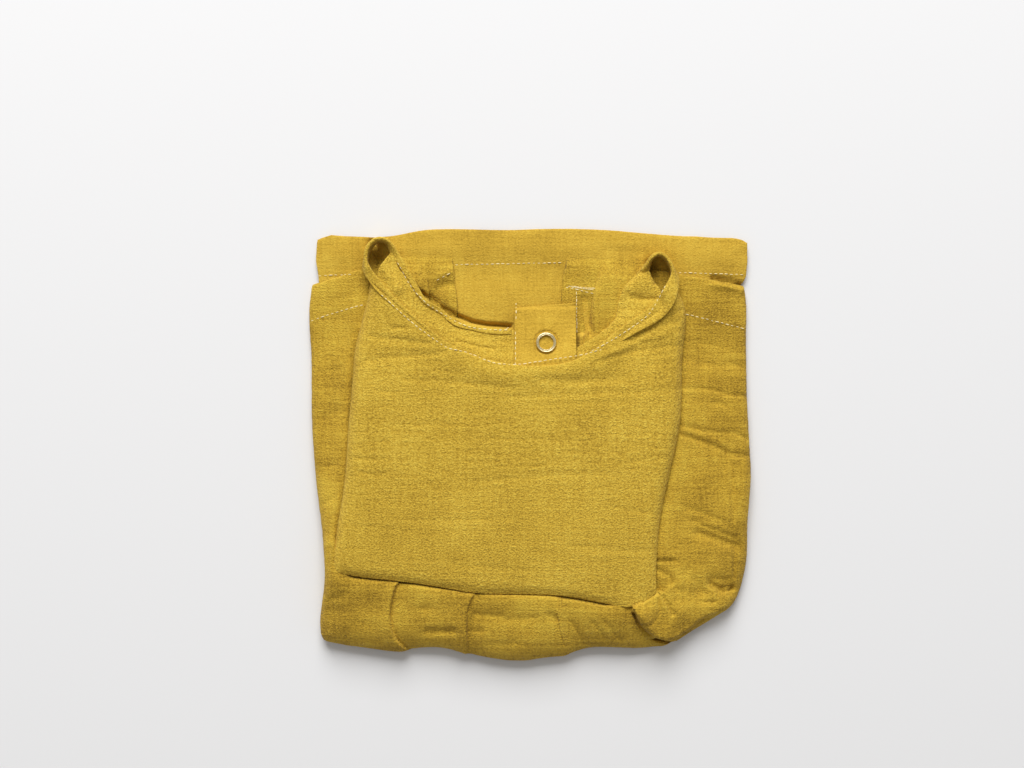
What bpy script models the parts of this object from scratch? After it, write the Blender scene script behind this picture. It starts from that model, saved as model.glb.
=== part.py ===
"""A baby's short-sleeve dress in mustard cotton gauze, folded for a shelf and lying face up.

The dress was laid face down, its skirt's sides and its sleeves were folded in over the back, the
skirt was folded up behind the bodice, and the pack was turned over. Each cut and sewn piece is a
wall of cloth on a height above the table. What the fold hides is one solid with a flat underside.

Tables and sizes are in millimetres: x to the right, y to the top of the pack, z up from the table.
"""

import math

import bmesh
import bpy
import numpy as np

MM = 0.001

# Cloth and trim
CLOTH = 1.5  # wall of one layer of crinkled double gauze
GAP = 0.4  # air between one layer and the next
SLEEVE_WALL = 1.8  # a sleeve is two layers pressed together
BINDING_BACK_WIDTH = 3.0  # how far the binding reaches on to the backs
# How far it reaches on to the front, which rolls it under at the middle: columns x, width
BINDING_FRONT_WIDTH = ((-76, 5.5), (-64, 4.0), (-40, 3.2), (0, 2.6), (30, 4.2), (48, 7.0), (66, 9.0))
BINDING_WALL = 1.5
BINDING_GAP = 0.45
HEM_DEPTH = 17.5
HEM_LIFT = 0.3  # how much higher the doubled hem stands than the cloth beyond it
LIP = 3.0  # cloth that turns in under the pack past each fold
HIDDEN_GAP = 1.9  # between that lip and the hidden layers, whose rings have fewer points
MAP_STEP = 2.0  # spacing of the height maps that the layers are laid with
REACH = 4.0  # how far round a point a layer looks for what it lies on
SLEEVE_REACH = 8.0  # the same for the sleeves

# The hidden layers
CORE_REACH = 14.0  # the same for them, whose points stand further apart
CORE_SIDE_GAP = 1.6
CORE_ROOF_GAP = 1.2
CORE_LIP_START = 62.0  # below this y the folds' lips lie under their edge
CORE_FOLD_START = 50.0  # below this y they fill the folds' rounds
CORE_HEM_TOP = 9.0  # most that their edge rises above it
CORE_RINGS = (0.96, 0.88, 0.8, 0.71, 0.61, 0.5, 0.39, 0.27, 0.14)  # shares of the way out from the middle
CORE_CENTRE = (0.0, -5.0)

# The ring snap
SNAP_CENTRE = (8.0, 51.2)
SNAP_OUTER = 10.3
SNAP_INNER = 7.0
SNAP_HEIGHT = 1.1

# The bodice front, anticlockwise from its lower left corner: columns x, y
WAIST_SEAM = (
    (-98.5, -62.5), (-88, -65), (-65, -67.5), (-41.5, -71), (-27, -73.5), (-5, -74),
    (14, -74.5), (37, -78.5), (50, -80.5), (56, -78), (62.5, -73.5),
)
BODICE_RIGHT = (
    (62.5, -73.5), (63, -57), (65, -35.5), (70, -12.5), (75, 10.5), (76, 40), (75, 76.5), (69, 82.5),
)
FRONT_NECK = (
    (-80.5, 88), (-75.5, 83), (-64, 70.5), (-52, 60), (-44, 53.7), (-37.5, 48.8), (-28, 45), (-13, 41),
    (2.5, 39.5), (17.5, 41), (30, 46.5), (39.5, 54.5), (50, 62.5), (61, 70), (66, 77.5), (69, 82.5),
)
BODICE_LEFT = (
    (-98.5, -62.5), (-97, -47.5), (-92.5, -17), (-91, 7.5), (-88.5, 38), (-88, 48), (-85.5, 57.5),
    (-83, 68), (-80.5, 76), (-80.5, 88),
)

# The neck edge behind the front, and its two loops over the shoulders: columns x, y
BACK_NECK_LEFT = (
    (-70.5, 101), (-64, 93.5), (-59.5, 85.5), (-51.5, 75.5), (-43.5, 69), (-32.5, 62.5), (-24.5, 59.2),
    (-16.5, 58), (-9.2, 58.4),
)
LOOP_LEFT = ((-68.5, 100.5), (-71.5, 102.4), (-75.3, 103), (-79.5, 100.5), (-81.6, 95), (-81, 89.5))
LOOP_RIGHT = ((70.6, 84.6), (70.3, 89), (68.3, 93), (64, 95.8), (60, 93.2), (57.2, 89))
BACK_NECK_RIGHT = (
    (56.5, 87.5), (51, 83.5), (46, 78), (44, 71), (43, 63.5), (37, 57.5), (29.5, 52.5), (20, 47),
)

# The skirt front's outer folds, from the left hem round the bottom to the right hem, each with the
# inner end of its section there: columns fold x, fold y, inner x, inner y
SKIRT_SECTIONS = (
    (-109.5, 80.5, -41.5, 102.5), (-111, 72, -38, 95), (-111.2, 60, -37.5, 82),
    (-110.2, 46, -35, 66), (-110, 30, -45, 50), (-110, 14, -66, 24), (-109.2, 0, -74, 5),
    (-107.5, -20, -77, -14), (-105.3, -37, -80, -32), (-103.3, -54, -84, -47),
    (-102.8, -67, -88, -57), (-104.5, -79, -89, -60), (-106, -91, -88, -61.5),
    (-105.7, -97.2, -87, -62), (-102.6, -100, -86, -62.3), (-96, -100.8, -84, -62.8),
    (-82, -102.8, -76, -63.5), (-62.5, -104.2, -65, -64.5), (-54, -102.6, -56, -65.8),
    (-39, -103, -41, -68.2),
    (-31, -105.8, -29, -70.4), (-18, -108.2, -16, -70.8), (-1, -109.2, -1, -71),
    (9, -107, 7, -71.2), (19, -106.4, 14, -71.5), (27, -102.8, 25, -73.4),
    (45, -102.6, 37, -75.5), (66, -102.2, 48, -76.5), (77, -97, 51, -74.5),
    (91, -88.5, 52, -71.5), (104, -79.5, 52, -67), (107.6, -68, 51, -60),
    (110, -55.5, 50, -48), (109.4, -41.5, 50, -36), (110.6, -27, 52, -22), (111.5, -8, 57, -4),
    (110.5, 6, 60, 10), (109.4, 22, 57, 28), (109.2, 42, 40, 42), (109, 57, 22, 55),
    (109, 69, 14.5, 68), (109, 76, 14, 84), (107.5, 80, 17.5, 98),
)
# Height of the skirt's top face over the table: columns y, z
SKIRT_LEVEL = (
    (112, 5.2), (84, 5.2), (60, 5.3), (45, 5.8), (25, 7.3), (0, 8.6), (-30, 10.0), (-55, 11.6),
    (-70, 12.9), (-85, 13.6), (-105, 13.2),
)
SEAM_DIP = 1.4  # how far the skirt's top sinks where it runs in under the bodice
SEAM_REACH = 3.5

# The bodice front's height along the middle: columns y, z
BODICE_LEVEL = (
    (-82, 15.8), (-60, 16.6), (-20, 16.4), (20, 15.8), (40, 14.9), (55, 14.2), (70, 13.8), (92, 13.6),
)
SIDE_ROLL = 7.0  # how far in from its edge the bodice rounds down
SEAM_ROLL = 6.0
SEAM_STAND = 0.35  # share of its height that the bodice keeps at the waist seam
EDGE_STAND = 1.2  # height of the bodice's turned edge over the skirt

# The skirt back, whose hem makes the pack's top edge: columns x, y
SKIRT_BACK_TOP = (
    (-106.5, 102.5), (-103, 104.6), (-90, 105.4), (-75, 105), (-63, 106.5), (-57, 108), (-39, 109),
    (-22, 108.7), (-9, 108.5), (3, 109), (27, 109), (39, 108.5), (51, 107.4), (75, 105.4),
    (99, 104.4), (106, 103.6), (109, 101),
)
SKIRT_BACK_BOTTOM = ((-106.5, 66), (-60, 50), (-20, 36), (20, 36), (60, 50), (104, 66))
SKIRT_BACK_LEFT = ((-106.5, 66), (-106.5, 84), (-106.5, 102.5))
SKIRT_BACK_RIGHT = ((104, 66), (104, 78), (107.6, 88), (109, 101))
SKIRT_BACK_TOP_FACE = 3.5

# The sleeves' ends: columns x, y
SLEEVE_LEFT_CUFF = ((-50, 55), (-50.5, 77), (-52, 92), (-54, 107.4))
SLEEVE_LEFT_HIDDEN = ((-71, 55), (-70, 80), (-69, 105))
SLEEVE_RIGHT_CUFF = ((30, 48), (30, 66), (33, 81), (36, 93), (37.5, 104))
SLEEVE_RIGHT_HIDDEN = ((64, 48), (62, 75), (60, 103.6))
SLEEVE_TOP_FACE = 6.0  # or higher, where the folded sides of the skirt lie under it

# The backs of the bodice and the placket in the neck's scoop
BACK_AT_NECK = 10.3  # height of the backs where the front neckline crosses them
BACK_FALL = 0.2  # how fast they fall away from it
SHOULDER_RISE = 0.05
PLACKET_AT_NECK = 12.4
PLACKET_FALL = 0.165
PLACKET = (-8.0, 23.0, 27.0, 69.0)  # left, right, hidden lower end, top
PLACKET_TIP = 2.5  # how much further up its right corner reaches
BACK_LEFT_HIDDEN = ((-71, 69), (-60, 57), (-50, 48), (-38, 40), (-24, 34), (-3, 31))
BACK_RIGHT_HIDDEN = ((18, 31), (32, 36), (44, 44), (54, 53), (62, 61))
LOOP_TOP = 13.8  # height of the neck edge over the shoulders
LOOP_WIDTH = 5.2

# The largest folds: columns x0, y0, x1, y1, half width, height (below 0 for a trough)
SKIRT_FOLDS = (
    (76, 10.5, 110, 2.5, 3.0, -0.9), (76, 4, 110, -6, 3.0, -0.9), (83, -38, 104, -50, 4.0, -1.6),
    (64, -57, 76, -57.5, 3.0, -1.2), (90, -67.5, 101, -71.5, 4.0, -3.0), (97.5, -3, 104, -52, 3.5, -0.9),
    (80, -78, 92, -77, 5.0, 1.0), (65, -76, 64, -88, 3.0, -1.6), (24, 99, 24, 56, 2.0, 0.7),
    (-48, -81, -38, -81, 3.0, -0.8), (-43, -91, -33, -91.5, 3.0, -0.9), (-22, -85, 0, -85, 4.0, -0.8),
    (-104, 14, -94, 18, 4.0, -0.7), (-46, 86, -38, 84, 4.0, 0.8), (-106, -82, -92, -74, 5.0, 0.7),
    (-38, -85, -25, -101, 5.0, 0.8), (76, 47, 106, 44, 4.0, -0.6),
)
BODICE_FOLDS = (
    (-79, 54, -50, 50.5, 3.0, -0.7), (-80, 42.5, -43, 46, 3.5, -0.7), (48, 46, 60, 50.5, 3.0, -0.6),
    (53, 54, 73, 61.5, 3.0, -1.2), (33, 41, 74, 50, 3.5, -0.9), (5, 33, 45, 33, 5.0, -0.9),
    (-36, 37, -37, 8, 3.5, -0.5), (-20, 36, 30, 36, 4.0, 0.5),
)
# Pleats from the waist seam to the bottom fold: columns seam x, seam y, fold x, fold y, height of the
# cloth left of the line, depth of the cloth right of it
PLEATS = (
    (-65, -67.5, -62.5, -104.2, 1.3, 1.0), (-28, -73.5, -31, -105.8, 1.0, 1.0),
    (14, -74.5, 19, -106.4, 0.5, 1.0), (50, -80.5, 66, -102.2, -0.9, -1.6),
)
PLEAT_REACH = 9.0

# Materials: colour as sRGB hex, roughness, metallic
FINISHES = {
    "gauze": ("C4A137", 0.9, 0.0),
    "snap_metal": ("C9C2B0", 0.25, 1.0),
}


# --- Curves and distances -------------------------------------------------------------------------


def fine(table, steps=10):
    """Many points on a smooth curve through the table's rows."""
    rows = np.array(table, float)
    reach = np.concatenate([[0], np.cumsum(np.linalg.norm(np.diff(rows[:, :2], axis=0), axis=1))])
    slope = np.gradient(rows, reach, axis=0)
    t = np.linspace(0, 1, steps, endpoint=False)[:, None]
    spans = []
    for k in range(len(rows) - 1):
        span = reach[k + 1] - reach[k]
        spans.append(
            (2 * t**3 - 3 * t**2 + 1) * rows[k]
            + (t**3 - 2 * t**2 + t) * span * slope[k]
            + (3 * t**2 - 2 * t**3) * rows[k + 1]
            + (t**3 - t**2) * span * slope[k + 1]
        )
    return np.vstack(spans + [rows[-1:]])


def at(table, fractions):
    """Points at these fractions of the smooth curve's length."""
    points = fine(table)
    reach = np.concatenate([[0], np.cumsum(np.linalg.norm(np.diff(points[:, :2], axis=0), axis=1))])
    wanted = np.asarray(fractions) * reach[-1]
    return np.stack([np.interp(wanted, reach, column) for column in points.T], axis=-1)


def level(table, where):
    """The second column of a table at these values of the first, rounded between the rows."""
    points = fine(table)
    order = np.argsort(points[:, 0])
    return np.interp(where, points[order, 0], points[order, 1])


def distance(x, y, line):
    """Distance from each point to a chain of points."""
    places = np.stack([np.ravel(x), np.ravel(y)], axis=-1)[:, None]
    start, run = line[None, :-1, :2], np.diff(line[:, :2], axis=0)[None]
    along = ((places - start) * run).sum(-1) / (run**2).sum(-1)
    nearest = start + np.clip(along, 0, 1)[..., None] * run
    return np.linalg.norm(places - nearest, axis=-1).min(1).reshape(np.shape(x))


def inside(x, y, ring):
    """Whether each point is inside a closed ring."""
    found = np.zeros(np.shape(x), bool)
    for (ax, ay), (bx, by) in zip(ring, np.roll(ring, -1, axis=0)):
        if ay != by:
            crosses = (ay > y) != (by > y)
            found ^= crosses & (x < (bx - ax) * (y - ay) / (by - ay) + ax)
    return found


def patch(edges, across, up):
    """A grid of points between a lower, an upper, a left and a right edge, at these shares of them."""
    lower, upper = (at(edge, across) for edge in edges[:2])
    left, right = (at(edge, up) for edge in edges[2:])
    u, v = across[None, :, None], up[:, None, None]
    corners = (1 - v) * ((1 - u) * lower[0] + u * lower[-1]) + v * ((1 - u) * upper[0] + u * upper[-1])
    return (1 - v) * lower + v * upper + (1 - u) * left[:, None] + u * right[:, None] - corners


def eased(share):
    """A quarter of a circle: steep at 0, level at 1."""
    return np.sqrt(1 - (1 - np.clip(share, 0, 1)) ** 2)


def folds(x, y, table):
    """The height that the troughs and ridges of a table add."""
    height = np.zeros(np.shape(x))
    for x0, y0, x1, y1, half_width, depth in table:
        away = distance(x, y, np.array([(x0, y0), (x1, y1)], float))
        height += depth * np.exp(-((away / half_width) ** 2))
    return height


def pleats(x, y):
    """Each pleat stands up on one side of its line and falls away on the other."""
    height = np.zeros(np.shape(x))
    for seam_x, seam_y, fold_x, fold_y, lift, drop in PLEATS:
        run = np.array([fold_x - seam_x, fold_y - seam_y])
        length = np.linalg.norm(run)
        down = ((x - seam_x) * run[0] + (y - seam_y) * run[1]) / length
        right = ((seam_y - y) * run[0] + (x - seam_x) * run[1]) / -length
        nearby = np.exp(-((right / PLEAT_REACH) ** 2)) * np.clip(down / 6 + 0.3, 0, 1)
        side = np.clip(right / 0.6, -1, 1)
        height += nearby * np.where(side < 0, -side * lift, -side * drop)
    return height


# --- Heights of the layers ------------------------------------------------------------------------


def outline(lower, right, upper, left):
    """A closed ring from four edges, the lower and upper ones from left to right."""
    return np.vstack([fine(lower), fine(right), fine(upper)[::-1], fine(left)[::-1]])


SEAM_LINE, NECK_LINE, HEM_LINE = fine(WAIST_SEAM), fine(FRONT_NECK), fine(SKIRT_BACK_TOP)
LEFT_LINE, RIGHT_LINE = fine(BODICE_LEFT), fine(BODICE_RIGHT)
SECTIONS = fine(SKIRT_SECTIONS)
BODICE_RING = outline(WAIST_SEAM, BODICE_RIGHT, FRONT_NECK, BODICE_LEFT)
INNER_RING = SECTIONS[:, 2:]
SKIRT_RING = np.vstack([SECTIONS[:, :2], INNER_RING[::-1]])
SKIRT_BACK_RING = outline(SKIRT_BACK_BOTTOM, SKIRT_BACK_RIGHT, SKIRT_BACK_TOP, SKIRT_BACK_LEFT)
SLEEVE_RINGS = [
    np.vstack([fine(cuff), fine(hidden)[::-1]])
    for cuff, hidden in ((SLEEVE_LEFT_CUFF, SLEEVE_LEFT_HIDDEN), (SLEEVE_RIGHT_CUFF, SLEEVE_RIGHT_HIDDEN))
]
BACK_RINGS = [
    np.vstack([fine(neck), fine(hidden)])
    for neck, hidden in ((BACK_NECK_LEFT[::-1], BACK_LEFT_HIDDEN), (BACK_NECK_RIGHT, BACK_RIGHT_HIDDEN))
]


MAP_AXIS = np.arange(-124, 125, MAP_STEP)
MAP_X, MAP_Y = np.meshgrid(MAP_AXIS, MAP_AXIS)


def mapped(height, *rings):
    """A map of the top face that lies inside these rings, 0 elsewhere."""
    tops = height(MAP_X, MAP_Y)
    return np.max([np.where(inside(MAP_X, MAP_Y, ring), tops, 0) for ring in rings], axis=0)


def spread(heights, reach, pick):
    """For each place on a map, the highest or the lowest within reach of it."""
    cells = range(-round(reach / MAP_STEP), round(reach / MAP_STEP) + 1)
    rows = pick([np.roll(heights, k, axis=0) for k in cells], axis=0)
    return pick([np.roll(rows, k, axis=1) for k in cells], axis=0)


def read(heights, x, y):
    """The map's height at each point, between its four nearest places."""
    last = len(MAP_AXIS) - 1.001
    column, row = (np.clip((np.asarray(v) - MAP_AXIS[0]) / MAP_STEP, 0, last) for v in (x, y))
    i, j = np.floor(row).astype(int), np.floor(column).astype(int)
    v, u = row - i, column - j
    lower = heights[i, j] * (1 - u) + heights[i, j + 1] * u
    upper = heights[i + 1, j] * (1 - u) + heights[i + 1, j + 1] * u
    return lower * (1 - v) + upper * v


def skirt_back_top(x, y):
    return SKIRT_BACK_TOP_FACE + HEM_LIFT * (distance(x, y, HEM_LINE) < HEM_DEPTH)


def skirt_top(x, y):
    """Top face of the skirt front: level, but for its seam, hems, folds and pleats."""
    to_seam = np.where(inside(x, y, BODICE_RING), 0, distance(x, y, SEAM_LINE))
    near_seam = np.exp(-((to_seam / SEAM_REACH) ** 2)) * np.clip((-52 - y) / 8, 0, 1)
    hems = np.minimum(*[distance(x, y, SECTIONS[end].reshape(2, 2)) for end in (0, -1)])
    shape = level(SKIRT_LEVEL, y) + HEM_LIFT * (hems < HEM_DEPTH) - SEAM_DIP * near_seam
    return shape + folds(x, y, SKIRT_FOLDS) + pleats(x, y)


SKIRT_MAP = mapped(skirt_top, SKIRT_RING)
FOLDED_MAP = np.maximum(SKIRT_MAP, mapped(skirt_back_top, SKIRT_BACK_RING))
UNDER_BODICE = spread(SKIRT_MAP, REACH, np.max)
UNDER_SLEEVES = spread(FOLDED_MAP, SLEEVE_REACH, np.max)


def sleeve_top(x, y):
    return np.maximum(SLEEVE_TOP_FACE, read(UNDER_SLEEVES, x, y) + GAP + SLEEVE_WALL)


SLEEVES_MAP = np.maximum(FOLDED_MAP, mapped(sleeve_top, *SLEEVE_RINGS))
UNDER_BACKS = spread(SLEEVES_MAP, REACH, np.max)


def bodice_top(x, y):
    """Top face of the bodice front: rolled down to the skirt at its sides and at the waist."""
    foot = read(UNDER_BODICE, x, y) + GAP + EDGE_STAND
    sides = np.minimum(distance(x, y, LEFT_LINE), distance(x, y, RIGHT_LINE)) / SIDE_ROLL
    waist = distance(x, y, SEAM_LINE) / SEAM_ROLL
    middle = level(BODICE_LEVEL, y) + folds(x, y, BODICE_FOLDS)
    return foot + (middle - foot) * eased(sides) * (SEAM_STAND + (1 - SEAM_STAND) * eased(waist))


UNDER_BINDING = spread(bodice_top(MAP_X, MAP_Y), REACH, np.max)


def tucked(x, y, at_neck, fall, below):
    """Top face of a layer in the neck's scoop. It runs down from the front neckline and over what is
    below it, and on under the bodice front."""
    hidden = inside(x, y, BODICE_RING)
    own = at_neck - fall * distance(x, y, NECK_LINE) * ~hidden
    own = np.maximum(own, read(below, x, y) + GAP + CLOTH)
    return np.where(hidden, np.minimum(own, bodice_top(x, y) - CLOTH - 2 * GAP), own)


def back_top(x, y):
    """Top face of the bodice's backs, which is the inside of the garment."""
    rise = SHOULDER_RISE * np.clip(np.abs(x + 6) - 38, 0, None)
    return tucked(x, y, BACK_AT_NECK + rise, BACK_FALL, UNDER_BACKS)


UNDER_PLACKET = spread(np.maximum(SLEEVES_MAP, mapped(back_top, *BACK_RINGS)), REACH, np.max)


def placket_top(x, y):
    return tucked(x, y, PLACKET_AT_NECK, PLACKET_FALL, UNDER_PLACKET)


def ceiling():
    """A map of how high the hidden layers may rise, under the lowest piece round each place."""
    roof = np.where(inside(MAP_X, MAP_Y, INNER_RING), bodice_top(MAP_X, MAP_Y), skirt_top(MAP_X, MAP_Y))
    for ring in BACK_RINGS:
        roof = np.where(inside(MAP_X, MAP_Y, ring), back_top(MAP_X, MAP_Y), roof)
    roof = np.where(inside(MAP_X, MAP_Y, SKIRT_BACK_RING), SKIRT_BACK_TOP_FACE, roof)
    return spread(roof, CORE_REACH, np.min) - CLOTH - GAP


# --- Objects --------------------------------------------------------------------------------------


def linear(channel):
    return channel / 12.92 if channel <= 0.04045 else ((channel + 0.055) / 1.055) ** 2.4


def finish(name):
    """The material of this name, made when it is first asked for."""
    material = bpy.data.materials.get(name)
    if material is None:
        colour, roughness, metallic = FINISHES[name]
        material = bpy.data.materials.new(name)
        material.use_nodes = True
        shader = material.node_tree.nodes["Principled BSDF"]
        rgb = [linear(int(colour[i : i + 2], 16) / 255) for i in (0, 2, 4)]
        shader.inputs["Base Color"].default_value = (*rgb, 1)
        shader.inputs["Roughness"].default_value = roughness
        shader.inputs["Metallic"].default_value = metallic
    return material


def object_of(name, mesh, material):
    mesh.materials.append(finish(material))
    piece = bpy.data.objects.new(name, mesh)
    bpy.data.collections["folded_dress"].objects.link(piece)
    return piece


def grid_mesh(name, points, closed=False):
    """A mesh of four-sided faces over a grid of points in millimetres, its columns joined if closed."""
    rows, columns = points.shape[:2]
    mesh = bpy.data.meshes.new(name)
    shape = bmesh.new()
    verts = [[shape.verts.new(p * MM) for p in row] for row in points]
    for i in range(rows - 1):
        for j in range(columns - (0 if closed else 1)):
            k = (j + 1) % columns
            shape.faces.new((verts[i][j], verts[i][k], verts[i + 1][k], verts[i + 1][j]))
    shape.to_mesh(mesh)
    shape.free()
    mesh.shade_smooth()
    return mesh


def tube(name, rings):
    """A closed piece of cloth through these rings of points, its two ends filled."""
    mesh = grid_mesh(name, rings, closed=True)
    shape = bmesh.new()
    shape.from_mesh(mesh)
    bmesh.ops.holes_fill(shape, edges=[edge for edge in shape.edges if edge.is_boundary])
    bmesh.ops.recalc_face_normals(shape, faces=shape.faces)
    shape.to_mesh(mesh)
    shape.free()
    object_of(name, mesh, "gauze")


def cloth(name, points, wall=CLOTH):
    """A wall of cloth whose top face is this grid."""
    piece = object_of(name, grid_mesh(name, points), "gauze")
    solid = piece.modifiers.new("wall", "SOLIDIFY")
    solid.thickness = wall * MM
    solid.offset = -1
    return piece


def raised(plan, *heights):
    """The plan's points with z, the sum of the given heights over each."""
    x, y = plan[..., 0], plan[..., 1]
    return np.dstack([x, y, sum(height(x, y) for height in heights)])


def evenly(count):
    return np.linspace(0, 1, count)


# --- Pieces ---------------------------------------------------------------------------------------


def bodice_front():
    side = np.array([0, 0.004, 0.018, 0.045])  # close columns, where the side rolls down
    across = np.concatenate([side, np.linspace(0.085, 0.915, 20), 1 - side[::-1]])
    up = np.concatenate([[0, 0.008, 0.03], np.linspace(0.065, 0.9, 17), [0.95, 1]])
    edges = (WAIST_SEAM, FRONT_NECK, BODICE_LEFT, BODICE_RIGHT)
    cloth("bodice_front", raised(patch(edges, across, up), bodice_top))


def bodice_backs():
    """The backs' corners stop short of the loops, which hang from the shoulders beside them."""
    neck = ((-68, 98.5),) + BACK_NECK_LEFT[1:-1] + ((-3, 58.5),)
    armhole = (BACK_LEFT_HIDDEN[0], (-70.5, 85), neck[0])
    edges = (BACK_LEFT_HIDDEN, neck, armhole, (BACK_LEFT_HIDDEN[-1], neck[-1]))
    cloth("bodice_back_left", raised(patch(edges, evenly(17), evenly(7)), back_top))
    neck = BACK_NECK_RIGHT[:0:-1] + ((55.5, 86),)
    armhole = (BACK_RIGHT_HIDDEN[-1], (60.5, 74), neck[-1])
    edges = (BACK_RIGHT_HIDDEN, neck, (BACK_RIGHT_HIDDEN[0], neck[0]), armhole)
    cloth("bodice_back_right", raised(patch(edges, evenly(13), evenly(7)), back_top))


def placket():
    left, right, lower, upper = PLACKET
    corners = ((left, lower), (right, lower)), ((left, upper), (right, upper + PLACKET_TIP))
    edges = (*corners, *zip(*corners))
    cloth("placket", raised(patch(edges, evenly(7), evenly(10)), placket_top))


def sleeve(name, left, right):
    edges = ((left[0], right[0]), (left[-1], right[-1]), left, right)
    cloth(name, raised(patch(edges, evenly(6), evenly(8)), sleeve_top), SLEEVE_WALL)


def skirt_back():
    edges = (SKIRT_BACK_BOTTOM, SKIRT_BACK_TOP, SKIRT_BACK_LEFT, SKIRT_BACK_RIGHT)
    cloth("skirt_back", raised(patch(edges, evenly(30), evenly(7)), skirt_back_top))


def skirt_stations():
    """Where the skirt's sections stand along the table: evenly, with a close pair at each pleat."""
    stations = list(np.linspace(0, 1, 66))
    sections = fine(SKIRT_SECTIONS)
    reach = np.concatenate([[0], np.cumsum(np.linalg.norm(np.diff(sections[:, :2], axis=0), axis=1))])
    for _, _, fold_x, fold_y, _, _ in PLEATS:
        nearest = np.linalg.norm(sections[:, :2] - (fold_x, fold_y), axis=1).argmin()
        here = reach[nearest] / reach[-1]
        stations = [s for s in stations if abs(s - here) > 0.004]
        stations += [here - 0.9 / reach[-1], here + 0.9 / reach[-1]]
    return at(SKIRT_SECTIONS, sorted(stations))


def fold_sizes(stations):
    """Each section's outward direction, the height of its fold and the fold's reach inwards."""
    out = stations[:, :2] - stations[:, 2:]
    length = np.linalg.norm(out, axis=1)
    height = level(SKIRT_LEVEL, stations[:, 1])
    return out / length[:, None], length, height, np.minimum(0.55 * height, 0.4 * length)


def skirt_front():
    stations = skirt_stations()
    out, length, height, reach = fold_sizes(stations)
    flat = np.array([0, 0.22, 0.45, 0.66, 0.85])
    turns = np.radians([90, 60, 28, -10, -50, -90])
    rows = []
    for share in flat:
        place = stations[:, 2:] + out * ((length - reach) * share)[:, None]
        x, y = place.T
        rows.append(np.stack([x, y, skirt_top(x, y)], axis=-1))
    centre = stations[:, :2] - out * reach[:, None]
    for turn in turns:
        place = centre + out * (reach * math.cos(turn))[:, None]
        x, y = place.T
        push = (skirt_top(x, y) - level(SKIRT_LEVEL, y)) * max(0, math.cos((math.pi / 2 - turn) / 1.5))
        place = place + out * (push * math.cos(turn))[:, None]
        rows.append(np.stack([*place.T, height / 2 * (1 + math.sin(turn)) + push * math.sin(turn)], axis=-1))
    rows.append(np.concatenate([centre - out * LIP, np.zeros((len(out), 1))], axis=1))
    cloth("skirt_front", np.array(rows[::-1]))


def neck_binding():
    """One strip along the back's left neck edge, over the shoulder, along the front and back again.

    Its turn says where the strip lies from its free edge: 0 to the left of the way it runs, 90
    straight down, as over the shoulders, and 180 to the right.
    """
    runs = [
        at(BACK_NECK_LEFT[::-1], evenly(16))[:-2], at(LOOP_LEFT, evenly(9)), at(FRONT_NECK, evenly(38))[2:-1],
        at(LOOP_RIGHT, evenly(9)), at(BACK_NECK_RIGHT, evenly(11))[1:-2],
    ]
    line = np.vstack(runs)
    counts = [len(run) for run in runs]
    loops = np.repeat([False, True, False, True, False], counts)
    turn = np.repeat([0.0, 90.0, 180.0, 90.0, 0.0], counts)
    free = loops.astype(float)
    on_front = turn == 180
    for _ in range(3):
        for run in (turn, free):
            run[1:-1] = np.where(loops[1:-1], (run[:-2] + run[1:-1] + run[2:]) / 3, run[1:-1])
    width = np.where(on_front, level(BINDING_FRONT_WIDTH, line[:, 0]), BINDING_BACK_WIDTH)
    width[loops] = LOOP_WIDTH
    width[1:-1] = (width[:-2] + width[1:-1] + width[2:]) / 3
    ahead = np.gradient(line, axis=0)
    ahead /= np.linalg.norm(ahead, axis=1)[:, None]
    left = np.stack([-ahead[:, 1], ahead[:, 0]], axis=-1)
    cos, sin = np.cos(np.radians(turn)), np.sin(np.radians(turn))
    # The strip's rounded section: shares of its width and of its wall
    section = ((0, 0), (0.06, 0.4), (0.3, 0.5), (0.7, 0.5), (0.95, 0.35), (1, 0))
    section += tuple((share, -half) for share, half in section[-2:0:-1])
    rings = []
    for share, half in section:
        side = cos * width * share + sin * half * BINDING_WALL
        x, y = (line + left * side[:, None]).T
        under = np.where(on_front, read(UNDER_BINDING, x, y), back_top(x, y))
        resting = under + BINDING_GAP + BINDING_WALL * (0.5 + cos * half)
        hanging = LOOP_TOP - sin * width * share + cos * half * BINDING_WALL
        rings.append(np.stack([x, y, resting + (hanging - resting) * free], axis=-1))
    tube("neck_binding", np.swapaxes(np.array(rings), 0, 1))


def snap_ring():
    x, y = SNAP_CENTRE
    ring_width = (SNAP_OUTER - SNAP_INNER) / 2
    bpy.ops.mesh.primitive_torus_add(
        major_segments=32, minor_segments=8, major_radius=(SNAP_OUTER + SNAP_INNER) / 4 * MM,
        minor_radius=ring_width / 2 * MM,
    )
    ring = bpy.context.object
    ring.name = "snap_ring"
    for vert in ring.data.vertices:
        vert.co.z *= SNAP_HEIGHT / ring_width
    ring.data.materials.append(finish("snap_metal"))
    ring.data.shade_smooth()
    slope = math.atan(PLACKET_FALL)
    here = float(placket_top(np.array([x]), np.array([y]))[0])
    ring.rotation_euler = (-slope, 0, 0)
    ring.location = (x * MM, y * MM, (here + 0.3 + SNAP_HEIGHT / 2) * MM)
    for holder in list(ring.users_collection):
        holder.objects.unlink(ring)
    bpy.data.collections["folded_dress"].objects.link(ring)


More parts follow.
